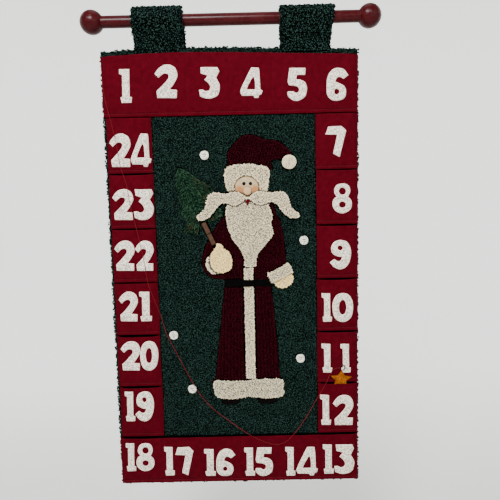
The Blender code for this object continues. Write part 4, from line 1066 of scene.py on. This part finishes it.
# Where the photograph shows each numeral: its left, right, top and bottom pixel, and for two
# digits where the first ends and the second starts, as shares of that width
NUMERALS = {
    1: (119, 132, 69, 103), 2: (154.5, 177.5, 64.5, 98), 3: (199, 220, 67, 98.5),
    4: (240.5, 262.5, 67.5, 98), 5: (287.5, 307, 68, 100.5), 6: (326.5, 348.5, 68, 100.5),
    7: (325.5, 346, 126, 157), 8: (332.5, 352, 183.5, 213.5), 9: (330, 351, 240, 269.5),
    10: (321.5, 353, 293, 322, .34, .35), 11: (321.5, 351, 343.5, 373, .37, .63),
    12: (320, 353.5, 394.5, 425.5, .335, .38), 13: (322.5, 354.5, 444, 474.5, .36, .37),
    14: (285, 318, 446.5, 476.5, .325, .355), 15: (244, 273, 447, 476.5, .39, .4),
    16: (204, 235.5, 448.5, 476.5, .38, .39), 17: (164, 193.5, 446.5, 476, .37, .385),
    18: (125.5, 154.5, 443, 471.5, .375, .38), 19: (124.5, 154, 391.5, 421.5, .37, .375),
    20: (120.5, 158, 341, 370.5, .53, .53), 21: (118.5, 152, 291.5, 321.5, .58, .61),
    22: (114, 153.5, 240.5, 271, .525, .53), 23: (112, 153.5, 189, 220, .515, .525),
    24: (109, 151, 133.5, 167, .515, .525),
}


def make_numerals(fronts):
    for day, (left, right, top, bottom, *split) in NUMERALS.items():
        spans = [(0.0, split[0]), (split[1], 1.0)] if split else [(0.0, 1.0)]
        front = fronts[day]
        parts = []
        plane = float(front(*seen((left + right) / 2, (top + bottom) / 2, -0.01)))
        for digit, (a, b) in zip(str(day), spans):
            loops = []
            for shares in DIGIT_SHARES[digit]:
                line = trace(shares, 6)
                u = left + (right - left) * (a + (b - a) * line[:, 0])
                v = bottom + (top - bottom) * line[:, 1]
                loop = np.array([seen(p, q, plane) for p, q in zip(u, v)])
                snips = [drift(*loop.T, 0.004, day), drift(*loop.T, 0.004, day + 50)]
                loops.append(loop + 0.00018 * np.column_stack(snips))
            parts.append(cut_mesh(loops, lambda x, z: front(x, z) - 0.00015, 0.0014, 0.001, 0.0006))
        piece(f"numeral_{day:02d}", *joined([p[:2] for p in parts]), WHITE_FELT,
              marks={"edge": np.concatenate([p[2] for p in parts])})


# The figure, cut from cloth and fur

THUMB_RISE = 0.004
NEEDLE_WIDTH = 0.00052
DOT_SHARE = 0.93
# A dot's three stitches: where each lies from its middle, and how it leans
DOT_STITCHES = ((-0.0017, 0.0012, 0.5), (0.0016, 0.0014, -0.3), (0.0003, -0.0019, 0.1))


def middle(node):
    low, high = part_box(node)
    return (low[0] + high[0]) / 2, (low[2] + high[2]) / 2


def ribs(lean, pitch, seed):
    """Ridges of a ribbed cloth, from 0 to 1, where lean(x, z) is a whole number of pitches."""
    def height(x, z):
        across = lean(x, z) + 0.0005 * drift(x, z, 0.012, seed)
        return np.abs(np.sin(math.pi * across / pitch)) ** 0.7
    return height


def swell(size, low=0.6, creases=()):
    """A soft fill: lower round the edge, with a crease through each (x, z, half length, depth)."""
    def relief(x, z, d):
        full = low + (1 - low) * np.clip(d / size, 0, 1) ** 0.6
        for cx, cz, reach, depth in creases:
            along = np.clip(1 - ((x - cx) / reach) ** 2, 0, 1)
            full = full - depth * along * np.exp(-((z - cz) / 0.0022) ** 2)
        return full + 0.05 * drift(x, z, 0.007, 4)
    return relief


def ribbed_cloth(node, name, thick, seed, rib, low, soft, covered):
    """A cloth of the robe's pile whose thickness follows its ribs, with painted shade in the furrows and
    lighter ridges.
    """
    pile_cloth(node, name, ROBE_CLOTH, thick, seed, lambda x, z, d: low + (1 - low) * rib(x, z),
               shade=rib, fineness=1, soft=soft, covered=covered)


def make_robe():
    cx, _ = middle("front_band")
    hem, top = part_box("robe")[0][2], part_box("robe")[1][2]

    def lean(x, z):
        """Ribs fan out with the skirt, and the sleeves' ribs slant."""
        up = (z - hem) / (top - hem)
        fan = (x - cx) / (1.1 - 0.25 * np.clip(up, 0, 1))
        sleeve = np.clip((np.abs(x - cx) - 0.04) / 0.006, 0, 1) * np.clip((up - 0.56) / 0.04, 0, 1)
        return fan + sleeve * (z - hem) * 0.35 * np.sign(x - cx)

    rib = ribs(lean, 0.0052, 61)
    covers = ("beard", "front_band", "belt", "hem_band", "cuff_left", "mitten_left", "cuff_right",
              "mitten_right", "tree_trunk")
    ribbed_cloth("robe", "robe_pile", 0.0021, 62, rib, 0.68, 0.0016, covers)


def make_head():
    rib = ribs(lambda x, z: x - z * 0.3, 0.0046, 65)
    ribbed_cloth("cap", "cap_pile", 0.0022, 66, rib, 0.74, 0.002, ("cap_brim", "pompom"))
    pile_cloth("cap_brim", "brim_fur", CREAM_FUR, 0.0034, 70, swell(0.009, 0.45),
               covered=("moustache",), trench=0.0018)
    bend = (*seen(253, 234.5, -0.009), 0.03, 0.4)
    pile_cloth("beard", "beard_fur", SHADED_CREAM_FUR, 0.0032, 72, swell(0.012, 0.6, [bend]),
               covered=("moustache", "mouth"), trench=0.0019)
    pile_cloth("moustache", "moustache_fur", CREAM_FUR, 0.0034, 75, swell(0.007, 0.55))
    cut_cloth("mouth_patch", outline_of("mouth"), 0.0018, MOUTH_FELT, "mouth", step=0.0005, soft=0.0005)
    make_face()
    make_pompom()


FACE_THICK, FACE_SOFT, FACE_FRONT, FACE_FILL = 0.0026, 0.006, 0.0022, 0.5
NOSE_RADIUS, NOSE_DEPTH, NOSE_OUT, NOSE_FILL = 0.00675, 0.0037, 0.7, 0.8
EYE_RADIUS, EYE_DEPTH, EYE_OUT = 0.0029, 0.0016, 0.0008
CHEEK_SIDE, CHEEK_UP, CHEEK_RADIUS = 0.0125, 0.0025, 0.0088
SHADE_DROP, SHADE_RADIUS = 0.0006, 0.01
FACE_TONES = (0.35, (0.37, 0.27, 0.15)), (0.65, (0.52, 0.4, 0.24))
NOSE_TONES = (0.35, (0.45, 0.28, 0.14)), (0.65, (0.6, 0.4, 0.22))
BEAD_TONES = (0.4, (0.004, 0.004, 0.005)), (0.7, (0.009, 0.008, 0.009))
CHEEK_RED, NOSE_SHADE, RIM_SHADE = (0.42, 0.17, 0.06), (0.1, 0.05, 0.026), (0.06, 0.032, 0.02)


def felt_tone(look):
    """Fine fibres, and the same fibres with broad shades between them."""
    fibres = look.noise(0.0005, 4.0, 0.7)
    return fibres, look.sum((fibres, 0.5), (look.noise(0.006, 3.0), 0.5))


def make_face():
    """A padded felt face as a rag doll has, with red cheeks and shade round the nose and by the furs."""
    nx, nz = middle("nose")
    look = Look("face_felt", Roughness=0.9, Specular_IOR_Level=0.03)
    fibres, tone = felt_tone(look)
    skin = look.ramp(tone, *FACE_TONES)
    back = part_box("face")[1][1]
    front = back - FACE_FRONT
    for side in (-1, 1):
        cheek = look.near((nx + side * CHEEK_SIDE, front, nz + CHEEK_UP), CHEEK_RADIUS)
        skin = look.mix(look.remap(cheek, 0.0, 0.6, 0, 0.95), skin, CHEEK_RED)
    ring = look.near((nx, front, nz - SHADE_DROP), SHADE_RADIUS)
    skin = look.mix(look.remap(ring, 0.08, 0.34, 0, 0.75), skin, NOSE_SHADE)
    skin = look.mix(look.remap(look.mark("edge"), 0.0024, 0.0006, 0, 0.9), skin, RIM_SHADE)
    look.bump(fibres, 0.0003, 0.5)
    verts, faces, _ = cut_mesh([evenly(outline_of("face"), 0.001)], back, FACE_THICK, 0.0008, FACE_SOFT)
    flat, under = verts[:, [0, 2]], [outline_of("cap_brim"), outline_of("moustache")]
    edge = edge_distance(flat, under)
    for loop in under:
        edge[inside(flat, [loop])] = 0
    piece("face_pad", verts, faces, look.done(skin), "panel", ["face"], {"edge": edge})
    make_nose(nx, front, nz)
    make_eyes(front)


def make_nose(nx, front, nz):
    look = Look("nose_felt", "face_felt", Roughness=0.85, Specular_IOR_Level=0.05)
    _, tone = felt_tone(look)
    look.bump(tone, 0.0003, 0.5)
    skin = look.done(look.ramp(tone, *NOSE_TONES))
    nose = ball((nx, front - NOSE_DEPTH * NOSE_OUT, nz), (NOSE_RADIUS, NOSE_DEPTH, NOSE_RADIUS), 28)
    piece("nose_ball", *nose, skin, stands_for=["nose"])


def make_eyes(front):
    look = Look("black_bead", Roughness=0.2, Specular_IOR_Level=0.08)
    bead = look.done(look.ramp(look.noise(0.002, 2.0), *BEAD_TONES))
    for name in ("eye_left", "eye_right"):
        ex, ez = middle(name)
        eye = ball((ex, front - EYE_OUT, ez), (EYE_RADIUS, EYE_DEPTH, EYE_RADIUS), 20)
        piece(name.replace("eye", "bead_eye"), *eye, bead, stands_for=[name])


def ball(centre, radii, steps):
    """A ball of quads with its poles on Y, and its two ends closed by fans."""
    rings = steps // 2 - 1
    a = np.linspace(0, math.pi, rings + 2)[1:-1]
    b = np.linspace(0, math.tau, steps, endpoint=False)
    a, b = np.meshgrid(a, b, indexing="ij")
    at = layer(np.sin(a) * np.cos(b), -np.cos(a), np.sin(a) * np.sin(b))
    at = np.vstack((at, (0, -1, 0), (0, 1, 0)))
    faces = ring_quads(rings, steps, flip=True)
    n = rings * steps
    for j in range(steps):
        k = (j + 1) % steps
        faces += [(n, j, k), (n + 1, n - steps + k, n - steps + j)]
    return np.array(centre) + at * np.array(radii), faces


def make_pompom():
    """A ball of wool, pressed a little flat against the panel."""
    low, high = (np.array(c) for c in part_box("pompom"))
    centre, radii = (low + high) / 2, (high - low) / 2 - (0.001, 0, 0.001)
    count, size = 420, 0.0011
    k = np.arange(count) + 0.5
    height, turn = 1 - 2 * k / count, k * math.pi * (1 + 5 ** 0.5)
    flat = np.sqrt(1 - height ** 2)
    out = np.column_stack((flat * np.cos(turn), -height, flat * np.sin(turn)))
    out = out[out[:, 1] < 0.6]
    chart = out[:, [0, 2]] * (1.1 + out[:, 1:2]) * radii[0]
    curls = stand_curls("pompom_curls", centre + out * (radii - size * 0.6), out, size, 81, CREAM_FUR,
                        chart=chart, fineness=2, shape=(0.9, 0.8, 1.3))
    # lift 0.2 paints the wool under the curls darker, as the shade between them.
    core = piece("pompom_wool", *ball(centre, radii - size, 40), CREAM_FUR, stands_for=["pompom"],
                 marks={"lift": 0.2, "tone": 0.4})


def make_trims():
    pile_cloth("front_band", "front_fur", CREAM_FUR, 0.0028, 84, swell(0.004),
               covered=("belt", "beard"), loop=outline_of("front_band", True))
    pile_cloth("hem_band", "hem_fur", DEEP_SHADED_CREAM_FUR, 0.0034, 86, swell(0.009))
    for node, look, seed, covers in (("cuff_left", CREAM_FUR, 88, ("mitten_left",)),
                                     ("cuff_right", SHADED_CREAM_FUR, 90, ()),
                                     ("mitten_left", MITTEN_FLEECE, 92, ()),
                                     ("mitten_right", MITTEN_FLEECE, 94, ("cuff_right",))):
        loop = outline_of(node)
        if node == "mitten_left":
            loop[:, 1] += THUMB_RISE * np.clip((loop[:, 1] - middle(node)[1]) / 0.02, 0, 1)
        pile_cloth(node, node + "_pile", look, 0.0028, seed, swell(0.008), 0.0021, covers,
                   trench=0.0024, loop=loop)
    for node in ("boot_left", "boot_right"):
        cut_cloth(node + "_felt", outline_of(node), 0.0015, BOOT_FELT, node)
    make_belt()


def make_belt():
    """A felt belt that climbs over the fur band in its middle."""
    (x0, y0, z0), (x1, y1, z1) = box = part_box("belt")
    (b0, _, _), (b1, _, _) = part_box("front_band")
    felt = 0.001
    x, z = np.meshgrid(stations(x0, x1, 0.0014, (0.0004,)), stations(z0, z1, 0.0016, (0.0004, 0.001)))
    back = y1 - (y1 - y0 - felt) * eased((np.minimum(x - b0, b1 - x) + 0.0033) / 0.0028)
    wave = z + 0.0004 * drift(x, x * 0, 0.02, 99)
    front = back - felt * rounded(border(x, z, box), 0.0009, 0.5)
    sewn_sheet("felt_belt", "belt", x, front, back, wave, BLACK_FELT)


def spikes(name, at, way, length, look, seed):
    """Thin three-sided needles from each point, as one object, darkened towards the root as painted shade.
    """
    rng = np.random.default_rng(seed)
    n = len(at)
    way = unit(way)
    side = np.cross(way, (0.0, -1.0, 0.0))
    over = np.cross(side, way)
    reach = way * (length * rng.uniform(0.6, 1.3, (n, 1)))
    corners = (at + side * NEEDLE_WIDTH, at - side * NEEDLE_WIDTH, at + over * NEEDLE_WIDTH * 1.6,
               at + reach)
    sides = np.array(((0, 1, 2), (0, 3, 1), (1, 3, 2), (2, 3, 0)))
    # The lift marks paint shade at each needle's root, where it meets the cloth.
    marks = {"lift": np.tile((0.3, 0.3, 0.5, 1.0), n), "tone": np.repeat(rng.uniform(0, 1, n), 4)}
    return piece(name, np.stack(corners, axis=1).reshape(-1, 3), copies(sides, n, 4), look, marks=marks)


# The fir's outline as the photograph shows it, fuller than its solid, in pixels from its tip
FIR_LINE = [(178, 167, 1), (184.4, 169.3), (191.6, 174.3), (196.6, 178.6), (202.3, 181.4), (208, 185.7),
            (210.1, 191.4), (214.4, 199.3), (219, 207), (222, 213), (216, 219), (210, 222), (203.7, 222),
            (199.4, 225), (198, 233.5), (193, 231.5), (187.3, 233.5), (185.1, 228.6), (187, 219),
            (182.3, 213), (183.3, 206), (179.1, 200), (179.4, 190), (176.4, 186), (176.2, 178),
            (175.9, 172)]
NEEDLE_LENGTH, TWIG_LENGTH, TWIG_SHARE = 0.005, 0.0048, 0.3
NEEDLE_STEP, FIR_CURL_STEP, RIM_STEP = 0.0023, 0.0026, 0.0014
BARE_SIDE, BARE_ABOVE, BARE_FOOT = 0.012, 0.075, 0.085
FIR_INSET, FIR_THICK = 0.0012, 0.0012
TRUNK_THICK = 0.0022


def fir_line():
    return np.array([seen(u, v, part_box("fir_tree")[0][1]) for u, v in trace(FIR_LINE, 3)])


def make_tree():
    """A fir of scrubby pile, with needles that sweep down and out from its stem."""
    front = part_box("fir_tree")[0][1]
    line = fir_line()
    loop = line + outward(line) * (0.0008 * drift(*line.T, 0.004, 9))[:, None]
    foot = np.array(middle("tree_trunk"))
    tip = loop[0]
    axis = (foot - tip) / np.linalg.norm(foot - tip)
    across = np.array((axis[1], -axis[0]))

    def ways(flat, rng, drop):
        side = (flat - tip) @ across
        sweep = axis * drop + across * np.sign(side)[:, None] + rng.normal(0, 0.45, flat.shape)
        return raised(sweep, rng.uniform(-0.5, 0.1, len(flat)))

    rng = np.random.default_rng(101)
    over = [outline_of(n) for n in ("moustache", "robe", "tree_trunk")]
    inner = scattered(loop, NEEDLE_STEP, 102, FIR_INSET, over, 0.001)
    rim = evenly(loop, RIM_STEP)
    rim = rim[uncovered(rim, over, 0.003)]
    rim = rim - 0.001 * (rim - loop.mean(axis=0)) / 0.03
    flat = np.vstack((inner, rim))
    at = raised(flat, front - rng.uniform(0, 0.0008, len(flat)))
    needles = spikes("fir_needles", at, ways(flat, rng, 1.0), NEEDLE_LENGTH, NEEDLE_GREEN, 103)
    side = (inner - tip) @ across * np.sign(across[0])
    low = (inner - tip) @ axis
    bare = (side > BARE_SIDE) & (low < BARE_ABOVE) | (low > BARE_FOOT)
    brown = inner[bare & (rng.uniform(0, 1, len(inner)) < TWIG_SHARE)]
    twigs = spikes("fir_twigs", raised(brown, front - 0.0008), ways(brown, rng, 0.6), TWIG_LENGTH,
                   NEEDLE_BROWN, 104)
    spots = scattered(loop, FIR_CURL_STEP, 105, 0.0015, over, 0.001)
    curls = stand_curls("fir_curls", raised(spots, front + 0.0006), facing(len(spots)), 0.0012, 106,
                        FIR_CLOTH)
    cut_cloth("fir_pile", drawn_in(loop, FIR_INSET), FIR_THICK, FIR_CLOTH, "fir_tree", soft=0.0012,
              step=0.002)
    cut_cloth("trunk_strip", outline_of("tree_trunk", True), TRUNK_THICK, TRUNK_FELT, "tree_trunk",
              soft=0.0018, step=0.0008)


def make_snow():
    """Felt dots, each held by three small stitches."""
    for node in DOTS:
        centre = np.array(middle(node))
        loop = rough_edge((outline_of(node) - centre) * DOT_SHARE + centre, 0.0004)
        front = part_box(node)[1][1] - 0.0019
        dot = cut_cloth(node.replace("snow", "felt"), loop, 0.0019, SNOW_FELT, node, soft=0.0014,
                        step=0.0008)
        parts = []
        for dx, dz, lean in DOT_STITCHES:
            at, half = centre + (dx, dz), np.array((0.0011, lean * 0.001))
            parts += running_stitch(at - half, at + half, lambda x, z: front, pitch=0.003, share=0.95,
                                    radius=0.00062)
        piece(dot.name + "_stitches", *joined(parts), STITCH_GREY)


# The star

STAR_WIDTH, STAR_HEIGHT, STAR_THICK, STAR_INNER = 0.0365, 0.031, 0.0025, 0.5
LOOP_RADIUS, LOOP_CORD_RADIUS, LOOP_Y, LOOP_POINTS = 0.00475, 0.0007, -0.0019, 60
PEN_SHARE, PEN_RADIUS = 0.6, 0.00034
STAR_TONES = (0.34, (0.16, 0.042, 0.0015)), (0.66, (0.36, 0.105, 0.004))
STAR_RIM = (0.1, 0.022, 0.002)
STAR_SEAT = (Matrix.Translation((0.17081, -0.00629, -0.5866))
             @ Matrix.Rotation(math.radians(8.3), 4, "X") @ Matrix.Rotation(math.radians(4), 4, "Y"))


def star_line(share):
    """The outline of a five-pointed star at this share of its size, in its own plane."""
    out = []
    for k in range(10):
        a = math.pi / 2 + math.pi * k / 5
        r = (1.0 if k % 2 == 0 else STAR_INNER) * share
        out.append((math.cos(a) * r * STAR_WIDTH / 2 / math.cos(math.pi / 10),
                    math.sin(a) * r * STAR_HEIGHT / (1 + math.cos(math.pi / 5)), 1))
    return out


def make_star():
    """A painted wooden star with a smaller star drawn on it, and its loop of cord."""
    turn = np.array(STAR_SEAT)

    def seated(verts):
        return np.asarray(verts) @ turn[:3, :3].T + turn[:3, 3]

    look = Look("star_wood", Roughness=0.5, Specular_IOR_Level=0.06)
    grained = look.noise(0.0035, 4.0, 0.65, (1, 1, 0.25))
    colour = look.ramp(grained, *STAR_TONES)
    colour = look.mix(look.remap(look.mark("edge"), 0.0014, 0.0001, 0, 0.7), colour, STAR_RIM)
    look.bump(grained, 0.0003, 0.5)
    verts, faces, d = cut_mesh([trace(star_line(1.0), 8)], 0.0, STAR_THICK, 0.0007, 0.0011)
    star = piece("painted_star", seated(verts), faces, look.done(colour), "star", ["star_marker"],
                 {"edge": d})
    pen = yarn_look("star_line", (0.03, 0.006, 0.001), (0.065, 0.014, 0.002), 0.6, "star_wood")
    ring = evenly(trace(star_line(PEN_SHARE), 4), 0.0009)
    ring = raised(np.vstack((ring, ring[:2])), -STAR_THICK)
    lines = piece("star_lines", *tube_mesh(seated(ring), PEN_RADIUS, 6), pen, "star")
    gap = math.asin(0.0004 / LOOP_RADIUS) + 0.12
    arc = np.linspace(gap, math.tau - gap, LOOP_POINTS)
    tip = star_line(1.0)[0][1] - 0.0005
    line = np.column_stack((np.sin(arc) * LOOP_RADIUS, np.full(LOOP_POINTS, LOOP_Y),
                            tip + LOOP_RADIUS + 0.0006 - np.cos(arc) * LOOP_RADIUS))
    loop = piece("cord_loop", *tube_mesh(seated(line), LOOP_CORD_RADIUS, 8, PLY, 1500), LOOP_CORD,
                 "star", ["star_loop"])
    return [star.name, lines.name, loop.name]


# Stage and light

LIGHTS = (("key", (-0.45, -1.7, 0.95), 0.9, 86), ("fill", (1.2, -1.7, 0.3), 1.6, 10),
          ("top", (0.0, 0.3, 2.0), 1.6, 8))


def make_stage():
    """A pale floor that curves up into a wall all round, glowing more towards the back as painted light, and
    big soft lights.
    """
    look = Look("pale_backdrop", Roughness=0.95, Specular_IOR_Level=0.05,
                Emission_Color=(0.97, 1.0, 0.95, 1.0))
    # The backdrop glows, brighter towards the back wall: painted light, not a lamp.
    depth = look.node("ShaderNodeSeparateXYZ", {"Vector": look.at}).outputs["Y"]
    painted_glow = look.node("ShaderNodeMapRange", {"Value": depth, "From Min": -0.4, "From Max": 1.4,
                                            "To Max": 1.1}, interpolation_type="SMOOTHSTEP")
    look.tree.links.new(painted_glow.outputs[0], look.shader.inputs["Emission Strength"])
    paper = look.ramp(look.noise(0.9, 2.0), (0.3, (0.58, 0.58, 0.57)), (0.7, (0.62, 0.62, 0.61)))
    look.bump(look.noise(0.004, 3.0), 0.0004, 0.2)
    floor, wall_top, radius, bend, steps = -1.05, 2.6, 2.9, 1.1, 96
    profile = [(0.7, floor), (radius - bend, floor)]
    profile += [(radius - bend + bend * math.sin(a), floor + bend * (1 - math.cos(a)))
                for a in np.linspace(0, math.pi / 2, 14)[1:]]
    profile.append((radius, wall_top))
    ring = np.linspace(0, math.tau, steps, endpoint=False)
    verts = [(r * math.cos(a), r * math.sin(a), z) for r, z in profile for a in ring]
    faces = [range(steps), *ring_quads(len(profile), steps, flip=True)]
    linked("backdrop", smooth_mesh("backdrop", verts, faces, look.done(paper)))
    for name, at, size, power in LIGHTS:
        data = bpy.data.lights.new(name, "AREA")
        data.shape, data.size, data.energy = "DISK", size, power
        light = linked(name, data)
        light.location = at
        aim = Vector((0, 0, -0.4)) - Vector(at)
        light.rotation_euler = aim.to_track_quat("-Z", "Y").to_euler()
    world = bpy.data.worlds.new("studio")
    world.use_nodes = True
    sky = world.node_tree.nodes["Background"]
    sky.inputs["Color"].default_value = (0.95, 0.97, 1.0, 1.0)
    sky.inputs["Strength"].default_value = 0.3
    bpy.context.scene.world = world


make_camera()
make_thread(make_star())
make_rod()
make_tab("tab_left", 21)
make_tab("tab_right", 22)
make_panel()
make_lining()
fronts = {}
for node in [n for n in NODES if "pocket" in n]:
    made = make_pocket(node)
    count, first, by = pocket_fields(node)
    fronts.update({first + by * k: made for k in range(count)})
make_numerals(fronts)
make_robe()
make_head()
make_trims()
make_tree()
make_snow()
make_stage()
